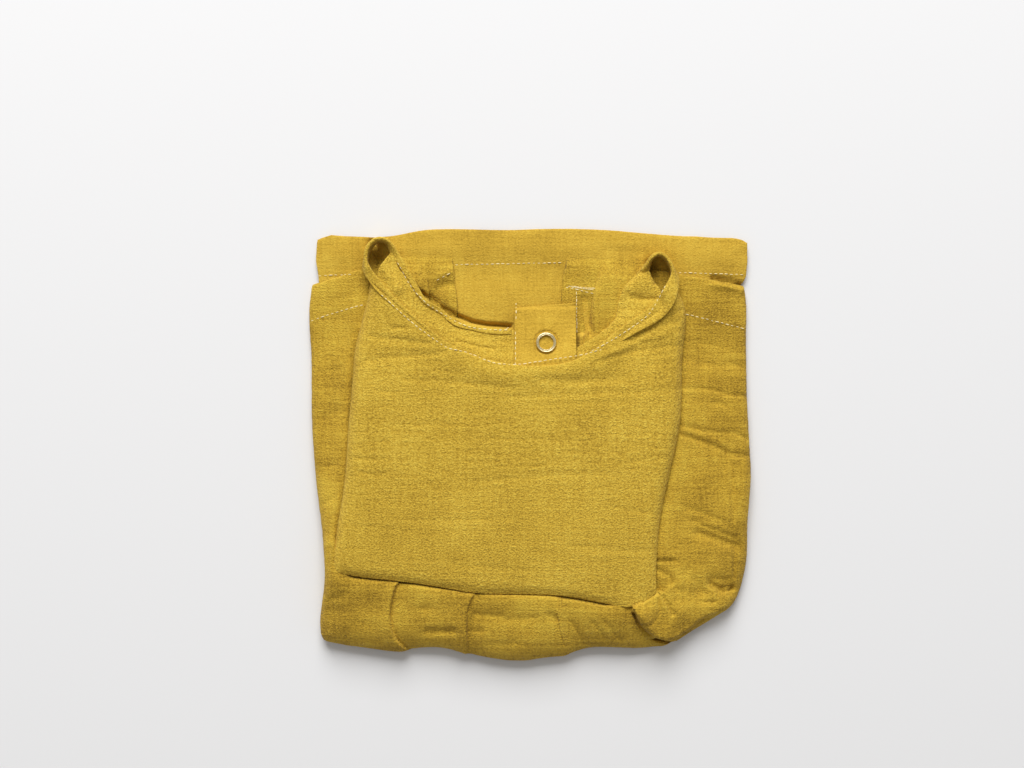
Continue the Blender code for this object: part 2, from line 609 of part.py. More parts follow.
def hidden_layers():
    """Everything under the pieces that show: a stack of rings from a flat underside up."""
    stations = at(SKIRT_SECTIONS, evenly(58))
    out, _, height, reach = fold_sizes(stations)
    reach += LIP + HIDDEN_GAP
    foot = stations[:, :2] - out * reach[:, None]
    top_edge = at(SKIRT_BACK_TOP, evenly(30)[1:-1])[::-1] - (0, 0.8)
    edge = np.vstack([foot, top_edge])
    out = np.vstack([out, np.tile((0.0, 1.0), (len(top_edge), 1))])
    height, reach = (np.concatenate([sizes, np.zeros(len(top_edge))]) for sizes in (height, reach))
    # Under the hems one layer fits; further down, the solid fills the folds' rounds
    over_lip = np.clip((CORE_LIP_START - edge[:, 1]) / 8, 0, 1)
    in_fold = np.clip((CORE_FOLD_START - edge[:, 1]) / 12, 0, 1)
    hem_low = 0.3 * (SKIRT_BACK_TOP_FACE - CLOTH - GAP)
    lip_low = CLOTH + GAP + 0.2
    bulge = (reach - CLOTH - CORE_SIDE_GAP) * in_fold
    shoulder = edge + out * (bulge * 0.5)[:, None]
    roof = ceiling()
    under_fold = np.where(in_fold > 0, height - CLOTH - CORE_ROOF_GAP, CORE_HEM_TOP)
    top = np.minimum(read(roof, *shoulder.T), under_fold)
    low = np.minimum(hem_low + (lip_low - hem_low) * over_lip, 0.5 * top)
    middle = np.clip(height / 2 * in_fold, low + 0.25, top - 0.25)
    rows = [
        np.column_stack([edge, np.zeros(len(edge))]),
        np.column_stack([edge, low]),
        np.column_stack([edge + out * (bulge * 0.9)[:, None], middle]),
        np.column_stack([shoulder, top]),
    ]
    for share in CORE_RINGS:
        place = CORE_CENTRE + (edge - CORE_CENTRE) * share
        rows.append(np.column_stack([place, read(roof, *place.T)]))
    tube("hidden_layers", np.array(rows))


def build():
    for item in list(bpy.data.objects):
        bpy.data.objects.remove(item)
    group = bpy.data.collections.new("folded_dress")
    bpy.context.scene.collection.children.link(group)
    hidden_layers()
    skirt_back()
    skirt_front()
    sleeve("sleeve_left", SLEEVE_LEFT_HIDDEN, SLEEVE_LEFT_CUFF)
    sleeve("sleeve_right", SLEEVE_RIGHT_CUFF, SLEEVE_RIGHT_HIDDEN)
    bodice_backs()
    placket()
    bodice_front()
    neck_binding()
    snap_ring()


build()
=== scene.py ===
# %% [markdown]
# # A baby's dress in mustard gauze, folded flat
#
# The dress is cotton double gauze: two loose plain weaves caught together here and there, so that
# the cloth crinkles when it is washed. It lies folded on a pale table, and the camera looks straight
# down on it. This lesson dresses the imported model. It takes each cloth solid as its form, smooths it,
# presses the creases into it, and then sews on the stitches and the ring snap.

import bmesh
import bpy
import numpy as np
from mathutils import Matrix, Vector
from mathutils.bvhtree import BVHTree


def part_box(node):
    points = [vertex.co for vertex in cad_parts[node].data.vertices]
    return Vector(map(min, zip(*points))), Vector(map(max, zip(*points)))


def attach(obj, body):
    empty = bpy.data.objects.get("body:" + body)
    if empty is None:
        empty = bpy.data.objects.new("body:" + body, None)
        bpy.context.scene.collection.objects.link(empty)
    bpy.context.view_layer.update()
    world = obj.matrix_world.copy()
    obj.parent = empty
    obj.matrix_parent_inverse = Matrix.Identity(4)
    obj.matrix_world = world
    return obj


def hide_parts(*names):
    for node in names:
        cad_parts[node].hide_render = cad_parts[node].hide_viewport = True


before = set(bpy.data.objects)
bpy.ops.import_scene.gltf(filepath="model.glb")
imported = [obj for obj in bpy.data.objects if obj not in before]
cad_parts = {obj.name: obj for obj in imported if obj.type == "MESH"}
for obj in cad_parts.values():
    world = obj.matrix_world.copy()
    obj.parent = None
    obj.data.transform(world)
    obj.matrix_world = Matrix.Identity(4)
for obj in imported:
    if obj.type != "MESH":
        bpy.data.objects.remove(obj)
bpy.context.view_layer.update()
MM = 0.001
print("nodes:", ", ".join(sorted(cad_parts)))

# %% [markdown]
# ## Camera, table and light
#
# A flat lay is photographed from straight above. The view is 512 mm wide, so the camera's height
# follows from its lens and sensor. The light is a window: large, soft and to the top of the picture,
# so that every rise that faces it is bright and the near edges throw a faint shadow. A sun lamp would
# draw hard shadows, so the window is an area light.

# %% Camera
VIEW_WIDTH = 512 * MM
VIEW_CENTRE = (-9 * MM, 30.5 * MM)
FOCUS_LEVEL = 8 * MM  # the height where the view is that wide, about the middle of the pack
LENS = 50.0
SENSOR = 36.0


def placed(name, data):
    """A new object with this mesh, lamp or camera, in the scene."""
    item = bpy.data.objects.new(name, data)
    bpy.context.scene.collection.objects.link(item)
    return item


camera_data = bpy.data.cameras.new("camera")
camera_data.lens = LENS
camera_data.sensor_width = SENSOR
camera_data.sensor_fit = "HORIZONTAL"
camera = placed("camera", camera_data)
camera.location = (*VIEW_CENTRE, FOCUS_LEVEL + VIEW_WIDTH * LENS / SENSOR)
bpy.context.scene.camera = camera
print("camera height in mm:", round(camera.location.z / MM))


# %% One function for colours and one for nodes
def linear(hex_colour):
    """An sRGB hex colour as the linear RGBA that Blender's nodes take."""
    channels = [int(hex_colour[i : i + 2], 16) / 255 for i in (0, 2, 4)]
    return (*[c / 12.92 if c <= 0.04045 else ((c + 0.055) / 1.055) ** 2.4 for c in channels], 1.0)


def add(tree, kind, inputs=(), **settings):
    """A new node. inputs gives its sockets a value, or a link where the value is another node's socket."""
    node = tree.nodes.new(kind)
    for name, value in settings.items():
        setattr(node, name, value)
    for name, value in dict(inputs).items():
        if isinstance(value, bpy.types.NodeSocket):
            tree.links.new(value, node.inputs[name])
        else:
            node.inputs[name].default_value = value
    return node


def new_material(name):
    """An empty material and its shader, ready for nodes."""
    material = bpy.data.materials.new(name)
    material.use_nodes = True
    return material, material.node_tree, material.node_tree.nodes["Principled BSDF"]


# %% Table
TABLE_SIZE = 2.4
# Matt paint, a little cooler than white: it shows soft shadows and no reflection.
table_material, tree, shader = new_material("matt_white_table")
shader.inputs["Base Color"].default_value = linear("E8E8E9")
shader.inputs["Roughness"].default_value = 0.85
table_mesh = bpy.data.meshes.new("table")
half = TABLE_SIZE / 2
corners = [(-half, -half, 0), (half, -half, 0), (half, half, 0), (-half, half, 0)]
table_mesh.from_pydata(corners, [], [(0, 1, 2, 3)])
table_mesh.materials.append(table_material)
table = placed("table", table_mesh)
print("table:", TABLE_SIZE, "m wide")

# %% Window light and the light from the room
WINDOW_SIZE = 1.9  # metres
WINDOW_PLACE = Vector((-0.2, 2.3, 1.75))
WINDOW_POWER = 110.0  # watts
ROOM_LIGHT = 0.345  # strength of the even light from all sides

window_data = bpy.data.lights.new("window", "AREA")
window_data.size = WINDOW_SIZE
window_data.energy = WINDOW_POWER
window = placed("window", window_data)
window.location = WINDOW_PLACE
window.rotation_euler = (-WINDOW_PLACE).to_track_quat("-Z", "Y").to_euler()

room = bpy.data.worlds.new("room")
room.use_nodes = True
room.node_tree.nodes["Background"].inputs["Color"].default_value = linear("FFFDFA")
room.node_tree.nodes["Background"].inputs["Strength"].default_value = ROOM_LIGHT
bpy.context.scene.world = room
bpy.context.scene.view_settings.view_transform = "Standard"
print("window:", round(WINDOW_PLACE.length, 2), "m away,", WINDOW_POWER, "W")

# %% [markdown]
# ## The gauze
#
# Up close the cloth has three scales: the crinkle, short ridges one to two millimetres apart; the
# slubs, thick threads that run across it as long faint lines; and the threads themselves. The first
# two are pressed into the mesh, and the material repeats them in its colour as painted shade: darker
# in the valleys and lighter on the ridges. A painted texture would have to be laid out on each piece.
# Noise on object coordinates needs no layout and gives mesh and material the same value, so that they
# stay in step.

# %% Crinkle and slubs, for a mesh or a material
# Noise cells to a metre, across, along and up the pack. A ridge and a valley take two cells.
CRINKLE = (1150.0, 1250.0, 900.0)  # cells of 0.8 to 0.9 mm, so ridges one to two millimetres apart
SLUBS = (32.0, 640.0, 200.0)  # a thick thread shows for about 30 mm and is 1.6 mm wide
WARP = (900.0, 60.0, 200.0)  # the threads that cross them, 1.1 mm wide and 17 mm long
THREADS = 1700.0  # cells of 0.6 mm; the real threads are finer, and this coarse they still show
BLOTCHES = 42.0  # cells of 24 mm: wide and faint, as garment dye leaves them


def crinkle(tree, place):
    """The crinkle's height at a place, from 0 to 1, with its ridges bent out of line."""
    stretched = add(tree, "ShaderNodeVectorMath", {0: place, 1: CRINKLE}, operation="MULTIPLY")
    noise = add(tree, "ShaderNodeTexNoise", {"Vector": stretched.outputs[0], "Scale": 1.0, "Detail": 2.0,
                                             "Roughness": 0.65, "Distortion": 0.35})
    return noise.outputs[0]


def slubs(tree, place, stretch=SLUBS):
    """The slubs' height at a place, from 0 to 1. Other stretches give other threads."""
    stretched = add(tree, "ShaderNodeVectorMath", {0: place, 1: stretch}, operation="MULTIPLY")
    noise = add(tree, "ShaderNodeTexNoise", {"Vector": stretched.outputs[0], "Scale": 1.0, "Detail": 3.0,
                                             "Roughness": 0.6, "Distortion": 0.2})
    return noise.outputs[0]


# %% Gauze as a material
def times(tree, value, factor):
    """A value times a number or another value."""
    return add(tree, "ShaderNodeMath", {0: value, 1: factor}, operation="MULTIPLY").outputs[0]


def plus(tree, *values):
    """The sum of some values."""
    total = values[0]
    for value in values[1:]:
        total = add(tree, "ShaderNodeMath", {0: total, 1: value}).outputs[0]
    return total


def weighed(tree, values, shares):
    """Each value times its share."""
    return [times(tree, value, share) for value, share in zip(values, shares)]


RELIEF = (1.0, 0.3, 0.3, 0.25)  # how much the crinkle, the slubs, the warp and the threads stand out
# The darkest colour is painted shade in the crinkle's valleys, and the lightest is painted light on its
# ridges.
VALLEY, RIDGE = 0.3, 0.7  # the shades where the darkest and the lightest colour are reached


def gauze(name, colours, shares, bump_depth):
    """Crinkled double gauze. Its colours run from the valleys to the ridges: the crinkle and the slubs
    paint shade into the valleys and light on to the ridges, and the warp and the blotches give the threads
    and the dye. The shares say how much the crinkle, the slubs, the warp and the blotches count in them.
    The bump's depth is in millimetres. Cotton scatters light evenly: it is matt, with little gloss and a
    trace of sheen from its fibres."""
    material, tree, shader = new_material(name)
    place = add(tree, "ShaderNodeTexCoord").outputs["Object"]
    ridges, lines, warp = crinkle(tree, place), slubs(tree, place), slubs(tree, place, WARP)
    clouds = {"Vector": place, "Scale": BLOTCHES, "Detail": 4.0}
    blotches = add(tree, "ShaderNodeTexNoise", clouds).outputs[0]
    # Painted shade and light from the crinkle and the slubs, mixed with the warp threads and the dye's
    # blotches.
    painted_shade_and_dye = plus(tree, *weighed(tree, (ridges, lines, warp, blotches), shares), 0.5 - sum(shares) / 2)
    ramp = add(tree, "ShaderNodeValToRGB", {"Fac": painted_shade_and_dye})
    bands = ramp.color_ramp.elements
    bands[0].position, bands[1].position = VALLEY, RIDGE
    bands.new((VALLEY + RIDGE) / 2)
    for band, colour in zip(bands, colours):
        band.color = linear(colour)
    tree.links.new(ramp.outputs["Color"], shader.inputs["Base Color"])
    threads = add(tree, "ShaderNodeTexNoise", {"Vector": place, "Scale": THREADS, "Detail": 2.0}).outputs[0]
    relief = plus(tree, *weighed(tree, (ridges, lines, warp, threads), RELIEF))
    bump = add(tree, "ShaderNodeBump", {"Height": relief, "Distance": bump_depth * MM, "Strength": 1.0})
    tree.links.new(bump.outputs[0], shader.inputs["Normal"])
    shader.inputs["Roughness"].default_value = 0.9
    shader.inputs["Specular IOR Level"].default_value = 0.25
    shader.inputs["Sheen Weight"].default_value = 0.05
    shader.inputs["Sheen Roughness"].default_value = 0.6
    return material


# The bodice is the most crinkled. The skirt was pressed when it was folded, and its dye is more uneven;
# its colours are also a little darker than the bodice's, painted shade for its rolled and folded sides.
# The hem and the placket are double, so they lie smoothest and catch the most light. In each gauze the
# first colour is painted shade in the valleys and the last is painted light on the ridges.
front_gauze = gauze("crinkled_cotton_double_gauze", ("A28020", "CBA634", "E2C34B"),
                    shares=(0.85, 0.16, 0.22, 0.25), bump_depth=0.8)
skirt_gauze = gauze("pressed_cotton_double_gauze", ("96751A", "C09A2C", "D5B33C"),
                    shares=(0.7, 0.4, 0.3, 0.6), bump_depth=0.8)
hem_gauze = gauze("smooth_cotton_double_gauze", ("A88422", "C9A233", "DAB742"),
                  shares=(0.45, 0.18, 0.25, 0.5), bump_depth=0.5)
print("gauze materials ready")

# %% [markdown]
# ## Cloth from the solids
#
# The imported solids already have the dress's outline, layers and large folds, but with few faces. A
# subdivision surface rounds them as cloth rounds over an edge. Its cages need four-sided faces, so a
# copy has its triangles joined in pairs first. New sheets with a cloth simulation would drift from the
# packed form, which they have to keep.


# %% A fine copy of a solid
JOIN_ANGLE = 1.2  # radians: how bent or skewed a pair of triangles may be and still be joined
CORNER = 0.85  # how sharp a corner of the cloth stays, from 0 to 1


def fine_copy(node, levels):
    """A smooth, finely divided mesh object with the form of a CAD node, its corners kept."""
    shape = bmesh.new()
    shape.from_mesh(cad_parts[node].data)
    bmesh.ops.remove_doubles(shape, verts=shape.verts, dist=0.01 * MM)
    bmesh.ops.join_triangles(
        shape, faces=shape.faces, angle_face_threshold=JOIN_ANGLE, angle_shape_threshold=JOIN_ANGLE
    )
    sharp = shape.verts.layers.float.new("crease_vert")
    for vert in shape.verts:
        if len(vert.link_edges) == 3:  # as at the corner of a box
            vert[sharp] = CORNER
    mesh = bpy.data.meshes.new(node)
    shape.to_mesh(mesh)
    shape.free()
    cage = placed(node + "_cage", mesh)
    smooth = cage.modifiers.new("smooth", "SUBSURF")
    smooth.levels = smooth.render_levels = levels
    return plain(cage, node + "_cloth")


def plain(item, name):
    """The object as its modifiers leave it, as a new object with a plain mesh. The old one is removed."""
    evaluated = item.evaluated_get(bpy.context.evaluated_depsgraph_get())
    mesh = bpy.data.meshes.new_from_object(evaluated)
    mesh.name = name
    bpy.data.objects.remove(item)
    return placed(name, mesh)


def points_of(piece):
    """The piece's points and their normals in millimetres, as arrays."""
    mesh = piece.data
    points, normals = np.empty(len(mesh.vertices) * 3), np.empty(len(mesh.vertices) * 3)
    mesh.vertices.foreach_get("co", points)
    mesh.vertex_normals.foreach_get("vector", normals)
    return points.reshape(-1, 3) / MM, normals.reshape(-1, 3)


def set_points(piece, points):
    """Puts the piece's points at these places in millimetres."""
    piece.data.vertices.foreach_set("co", (points * MM).ravel())
    piece.data.update()


# %% [markdown]
# ## Folds pressed in by hand
#
# A dress on a shelf keeps the creases that hands and an iron gave it, in places of their own, and a
# cloth simulation would put them elsewhere. So each crease is a line in a table, read off the dress in
# millimetres. Across the line the cloth dips or rises as a bell curve does. Where a fold lies on the
# cloth beside it, one side of the line stands higher than the other: that is a step.

# %% Distances to a line
def nearest_on(x, y, line):
    """For each point, its distance in millimetres to a chain of places, and how far it lies to the
    right of the way the chain runs (below 0 to its left)."""
    away, side = np.full(len(x), 1e9), np.zeros(len(x))
    for (ax, ay), (bx, by) in zip(line, line[1:]):
        run = np.array([bx - ax, by - ay], float)
        along = np.clip(((x - ax) * run[0] + (y - ay) * run[1]) / (run @ run), 0, 1)
        here = np.hypot(x - ax - along * run[0], y - ay - along * run[1])
        left = (y - ay) * run[0] - (x - ax) * run[1] > 0
        side = np.where(here < away, np.where(left, -here, here), side)
        away = np.minimum(here, away)
    return away, side


def ramp(value, low, high):
    """0 below low, 1 above high, and smooth between."""
    share = np.clip((value - low) / (high - low), 0, 1)
    return share * share * (3 - 2 * share)


def bell(distance, reach):
    """1 on the line, falling off on both sides as a bell curve does."""
    return np.exp(-((distance / reach) ** 2))


# %% Press folds into a piece
STEP_SLOPE = 0.8  # how far from its line an overlapping fold reaches its full height


def press(piece, creases=(), steps=(), extra=None, shifts=(), floor=3.0):
    """Moves a piece's points up or down, but not those lower than floor, and sideways.

    A crease is a soft trough or ridge along a line: the line's places, its half width and its height,
    below 0 for a trough. A step is a fold that overlaps: the places, the reach, and the height of the
    cloth to the left and to the right of the line. extra gives one more height for each x and y. A
    shift is a place, a radius and how far the cloth there lies along x and y from where it was."""
    points, _ = points_of(piece)
    for place, radius, across, along in shifts:
        share = np.exp(-(((points[:, 0] - place[0]) ** 2 + (points[:, 1] - place[1]) ** 2) / radius**2))
        points[:, :2] += share[:, None] * (across, along)
    x, y, z = points.T
    lift = np.zeros(len(x)) if extra is None else extra(x, y)
    for *line, half_width, depth in creases:
        lift += depth * bell(nearest_on(x, y, line)[0], half_width)
    for *line, reach, left, right in steps:
        away, side = nearest_on(x, y, line)
        height = np.where(side < 0, left, right) * np.clip(np.abs(side) / STEP_SLOPE, 0, 1)
        lift += height * bell(away, reach)
    points[:, 2] += lift * (np.clip((z - floor) / floor, 0, 1) if floor else 1)  # less near the table
    set_points(piece, points)


def refine(piece, lines, reach, deepest_z=4.0, longest=0.0, facing=0.1):
    """Cuts the faces near some lines in four, or only their longer edges. facing is how much they have
    to face up, from -1 to 1, and deepest_z how high they have to lie."""
    shape = bmesh.new()
    shape.from_mesh(piece.data)
    x, y, z = np.array([vert.co for vert in shape.verts]).T / MM
    near = np.min([nearest_on(x, y, line)[0] for line in lines], axis=0) < reach
    near &= z > deepest_z
    shape.verts.index_update()
    edges = [edge for edge in shape.edges if all(near[v.index] for v in edge.verts)]
    edges = [edge for edge in edges if max(v.normal.z for v in edge.verts) >= facing]
    edges = [edge for edge in edges if edge.calc_length() > longest * MM]
    bmesh.ops.subdivide_edges(shape, edges=edges, cuts=1, use_grid_fill=True)
    bmesh.ops.triangulate(shape, faces=[face for face in shape.faces if len(face.verts) > 4])
    shape.to_mesh(piece.data)
    shape.free()
    piece.data.update()


def lines_of(*tables):
    """The lines of some creases and steps, without their sizes."""
    return [[place for place in row if isinstance(place, tuple)] for table in tables for row in table]


# %% [markdown]
# ## The crinkle in the mesh
#
# A bump in a material doesn't change an edge or a silhouette, so the crinkle is also in the mesh. It is
# the same everywhere on the cloth, and a rule says it best: a Geometry Nodes tree moves each point along
# its normal by the same noise that the material reads.

# %% The crinkle, pressed into a mesh with Geometry Nodes
def crinkle_tree():
    """A modifier that moves each point along its normal by the crinkle and the slubs."""
    tree = bpy.data.node_groups.new("press_crinkle", "GeometryNodeTree")
    tree.interface.new_socket("Geometry", in_out="INPUT", socket_type="NodeSocketGeometry")
    for name in ("Crinkle Height", "Slub Height"):
        tree.interface.new_socket(name, in_out="INPUT", socket_type="NodeSocketFloat")
    tree.interface.new_socket("Geometry", in_out="OUTPUT", socket_type="NodeSocketGeometry")
    given = add(tree, "NodeGroupInput")
    place = add(tree, "GeometryNodeInputPosition").outputs[0]
    lift = None
    for height, name in ((crinkle(tree, place), "Crinkle Height"), (slubs(tree, place), "Slub Height")):
        middle = add(tree, "ShaderNodeMath", {0: height, 1: 0.5}, operation="SUBTRACT").outputs[0]
        part = times(tree, middle, given.outputs[name])
        lift = part if lift is None else plus(tree, lift, part)
    normal = add(tree, "GeometryNodeInputNormal").outputs[0]
    offset = add(tree, "ShaderNodeVectorMath", {0: normal, "Scale": lift}, operation="SCALE")
    moved = add(tree, "GeometryNodeSetPosition",
                {"Geometry": given.outputs["Geometry"], "Offset": offset.outputs[0]})
    add(tree, "NodeGroupOutput", {"Geometry": moved.outputs[0]})
    return tree


def socket_of(tree, name):
    """The identifier by which a modifier knows this input."""
    inputs = [item for item in tree.interface.items_tree if item.in_out == "INPUT"]
    return next(item.identifier for item in inputs if item.name == name)


CRINKLE_TREE = crinkle_tree()


def crinkled(piece, crinkle_height, slub_height):
    """The piece with the crinkle in its mesh. Heights are in millimetres from valley to ridge."""
    name = piece.name
    piece.name = name + "_smooth"
    modifier = piece.modifiers.new("crinkle", "NODES")
    modifier.node_group = CRINKLE_TREE
    modifier[socket_of(CRINKLE_TREE, "Crinkle Height")] = crinkle_height * MM
    modifier[socket_of(CRINKLE_TREE, "Slub Height")] = slub_height * MM
    piece.update_tag()
    return plain(piece, name)


# %% Finish a piece of cloth
def finish_cloth(piece, node, material, flat=None, area=None):
    """The piece stands for its CAD node and rides with it. flat, its flat width and length in millimetres,
    and area, its area, are not used."""
    points, _ = points_of(piece)
    points[:, 2] = np.maximum(points[:, 2], 0)  # nothing goes through the table
    set_points(piece, points)
    piece.data.materials.clear()
    piece.data.materials.append(material)
    piece.data.shade_smooth()
    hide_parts(node)
    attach(piece, "root")
    print(piece.name, "has", sum(len(face.vertices) - 2 for face in piece.data.polygons), "triangles")


# %% [markdown]
# ## The bodice front
#
# The large panel is one layer that lies on all the others. It is flat in the middle and rolls down at
# its sides. Shallow creases run out from both shoulders, where the straps pull on it. Its lower edge is
# sewn to the gathered skirt, so it dips there and the skirt's cloth stands up against it. The creases
# are few and have places of their own, so they are read from a table, not strewn by a noise.

# %% Waist seam and the bodice's edges
# From the left side, round the lower corners, to the right side.
SEAM = ((-97.3, -52), (-98.3, -60), (-94, -63), (-87.5, -65.3), (-65, -67.5), (-45, -70.5), (-27.5, -73),
        (-5, -73.6), (10, -74.2), (22.5, -76.2), (37, -78.8), (50, -80.7), (56, -78.8), (62.6, -74.5))
SEAM_SINK = 1.0  # how much the bodice's edge dips
SEAM_WIDTH = 2.6
FLUSH_SHARE = 0.7  # how much of that dip is missing at the seam's ends, where the cloth is drawn tight
FLUSH_RIGHT = (36, 46)  # x where the tight end starts and where it is fully tight
FLUSH_LEFT = (-88, -94)
BODICE_SIDES = (
    ((-80.5, 88), (-83, 68), (-88, 48), (-91, 7.5), (-92.5, -17), (-97, -47.5)),
    ((62.8, -66), (63, -57), (65, -35.5), (70, -12.5), (75, 10.5), (76, 40), (75, 76.5)),
)
SIDE_SINK = 0.7


def flush(x):
    """1 at the seam's two ends, where the cloth meets with no gap, and 0 between them."""
    return np.maximum(ramp(x, *FLUSH_RIGHT), ramp(x, *FLUSH_LEFT))


def bodice_edges(x, y):
    """How much the bodice's edges dip."""
    dip = SEAM_SINK * (1 - FLUSH_SHARE * flush(x)) * bell(nearest_on(x, y, SEAM)[0], SEAM_WIDTH)
    for side in BODICE_SIDES:
        dip += SIDE_SINK * bell(nearest_on(x, y, side)[0], SEAM_WIDTH)
    return -dip


# %% Bodice front
BODICE_CREASES = (  # places in millimetres, half width, height
    ((-79, 54), (-66, 52.5), (-50, 50.5), 1.2, -0.6),
    ((-70, 58.5), (-60, 58), 1.0, -0.45),
    ((-80, 42.5), (-62, 44), (-43, 46), 1.4, -0.5),
    ((-77, 49), (-56, 48), 0.9, 0.3),
    ((45, 54), (53, 51.5), (59, 50.5), 1.0, -0.5),
    ((53, 54.5), (62, 59), (73, 61.5), 1.2, -0.8),
    ((64, 62), (70, 64), (75.5, 67.5), 1.0, -0.7),
    ((33, 41.5), (50, 46.5), (75, 50), 1.2, -0.5),
    ((36, 44), (55, 52), (70, 56), 1.3, 0.5),
    ((5, 33), (25, 32), (45, 33.5), 2.2, -0.5),
    ((-37, 37), (-37, 8), 1.4, -0.2),
    ((60, 44), (72, 46), 0.8, -0.35),
    ((58, 40), (71, 41), 0.8, -0.3),
    ((-30, -18), (5, -15), (40, -14), 1.4, -0.25),
    ((-62, -37), (-10, -36), 1.3, -0.2),
    ((0, 20), (50, 22), 1.3, -0.22),
    ((-72, 10), (-40, 11), 1.2, -0.2),
    ((-20, 4), (30, 2), 1.2, -0.15),
    ((-86, -40), (-60, -42), 1.3, -0.2),
    ((20, -50), (58, -52), 1.6, -0.3),
    ((45, 26), (75, 28), 1.2, -0.35),
    ((-58, 55), (-50, 49), (-37, 42), (-24, 37), (-10, 34.5), (3, 34), (18, 36), (32, 41), (45, 47),
     5.0, 0.8),
    ((-88, -6), (-80, -7), (-72, -6.5), 0.7, -0.4),
    ((-85, -13), (-77, -14.5), (-69, -13.5), 0.7, -0.35),
    ((-80, 2.5), (-72, 2.2), 0.6, -0.35),
    ((-76, 27), (-66, 26), 0.7, -0.35),
    ((-62, 33), (-30, 31), (-8, 28), 1.3, -0.35),
    ((-10, 24), (20, 25), (44, 27), 1.5, -0.3),
    ((50, -8), (68, -6), 1.2, -0.25),
    ((40, -30), (64, -34), 1.3, -0.25),
    ((-40, -58), (0, -62), 1.6, -0.2),
)
bodice = fine_copy("bodice_front", levels=3)
press(bodice, BODICE_CREASES, extra=bodice_edges)
bodice = crinkled(bodice, crinkle_height=0.5, slub_height=0.15)
finish_cloth(bodice, "bodice_front", front_gauze, flat=(178, 170), area=21500)

# %% [markdown]
# ## The skirt
#
# The skirt front is one gathered piece. Its sides are folded in from left and right and its lower part
# comes up from the bottom fold, so it shows as a U. Its pleats are deep folds that start at the waist
# seam, and each is pressed in as a step: the cloth stands higher on one side of a line than on the
# other. The faces near such lines are cut finer first, or the steps would come out soft.

# %% The skirt stands up against the bodice's edges
CREST = 2.7  # how much it rises just outside the waist seam
CREST_START, CREST_PLACE = -0.4, 1.3  # millimetres outside the seam where the rise starts and is full
CREST_REACH = 9.0
TIGHT_CREST, TIGHT_START, TIGHT_PLACE = 0.9, 2.8, 1.4  # at the tight ends it is higher and further in
SIDE_RISES = (2.3, 1.4)  # the same beside the bodice's left and right edge
SIDE_START, SIDE_PLACE = -0.5, 1.5
SIDE_REACH = 7.0
SIDE_TOP = (84, 60)  # y where those rises start, under the shoulders, and where they are full
BOTTOM_FOLD = ((-105, -84), (-105.5, -97), (-96, -101), (-62.5, -104.2), (-54, -102.6), (-39, -103),
               (-31, -105.8), (-18, -108.2), (-1, -109.2), (9, -107), (27, -102.8), (66, -102.2), (77, -97),
               (91, -88.5), (104, -79.5), (109, -62))
ROLL = 3.4  # how much lower the cloth is near the bottom fold, which rolls under in a wide round
ROLL_REACH = 9.5
ROLL_WIDER = 0.7  # how much wider it rolls at the lower right corner
ROLL_CORNER = (55, 85)  # x where that starts and is full
LAP = 2.4  # how much the flaps' inner ends go down into the hem, in the neck's scoop
LAP_TOP, LAP_LEFT, LAP_RIGHT = (87, 98), (-76, -70), (72, 66)  # y, x and x where that starts and is full


def against_bodice(x, y):
    """How much the skirt rises round the bodice. Seen along the seam, right is outside."""
    away, side = nearest_on(x, y, SEAM)
    tight = flush(x)
    start, full = CREST_START - TIGHT_START * tight, CREST_PLACE - TIGHT_PLACE * tight
    rise = (CREST + TIGHT_CREST * tight) * ramp(side, start, full)
    rise *= bell(np.clip(side - CREST_PLACE, 0, None), CREST_REACH)
    for line, height in zip(BODICE_SIDES, SIDE_RISES):
        away, side = nearest_on(x, y, line)
        near = height * ramp(side, SIDE_START, SIDE_PLACE) * bell(away, SIDE_REACH)
        rise = np.maximum(rise, near * ramp(y, *SIDE_TOP))
    lap = LAP * ramp(y, *LAP_TOP) * ramp(x, *LAP_LEFT) * ramp(x, *LAP_RIGHT)
    reach = ROLL_REACH * (1 + ROLL_WIDER * ramp(x, *ROLL_CORNER))
    return rise - lap - ROLL * bell(nearest_on(x, y, BOTTOM_FOLD)[0], reach)


# %% Layers that puff up in the neck's scoop
PUFF = 1.6
PUFF_PLACE = (-10.0, 66.0)
PUFF_SIZE = (33.0, 15.0)


def puffed(x, y):
    """The skirt's layers rise under the placket, which narrows the gap above the back's neck edge.
    The fourth powers make the rise flat on top."""
    across, along = ((v - place) / size for v, place, size in zip((x, y), PUFF_PLACE, PUFF_SIZE))
    return PUFF * np.exp(-(across**4)) * np.exp(-(along**4))


# %% Folds that lap over on the skirt front
DEEP_PLEAT = ((-61, -102.5), (-63, -100.5), (-66.5, -96.5), (-68.5, -91.5), (-69.2, -85), (-68.5, -79),
              (-67, -72.5))
SKIRT_STEPS = (  # places, reach, and the height to the left and to the right of the way they run
    (*DEEP_PLEAT, (-65.5, -68.5), 4.5, 0.6, -1.3),
    ((-32, -103), (-31, -96.5), (-31, -87.5), (-30.8, -82.5), (-29.5, -77.5), (-27.5, -74),
     4.0, 0.7, -0.9),
    ((18, -103), (16.5, -99.5), (15, -93.5), (13.5, -87.5), (13, -83.5), 3.5, -0.5, 0.5),
    ((73, -98.5), (67.5, -99), (62.5, -97), (57.5, -93.5), (54, -89), (52, -84.5), (51, -81),
     6.0, -2.1, 1.7),
    ((67, -98), (75, -94.5), (80, -91.5), (84, -87.5), (88, -85.5), (93, -83.5), 5.0, 0.6, -1.8),
)
LEFT_FLAP_END = ((-37.5, 60), (-36.6, 66), (-35.5, 74), (-36.5, 88))  # no step, only finer faces

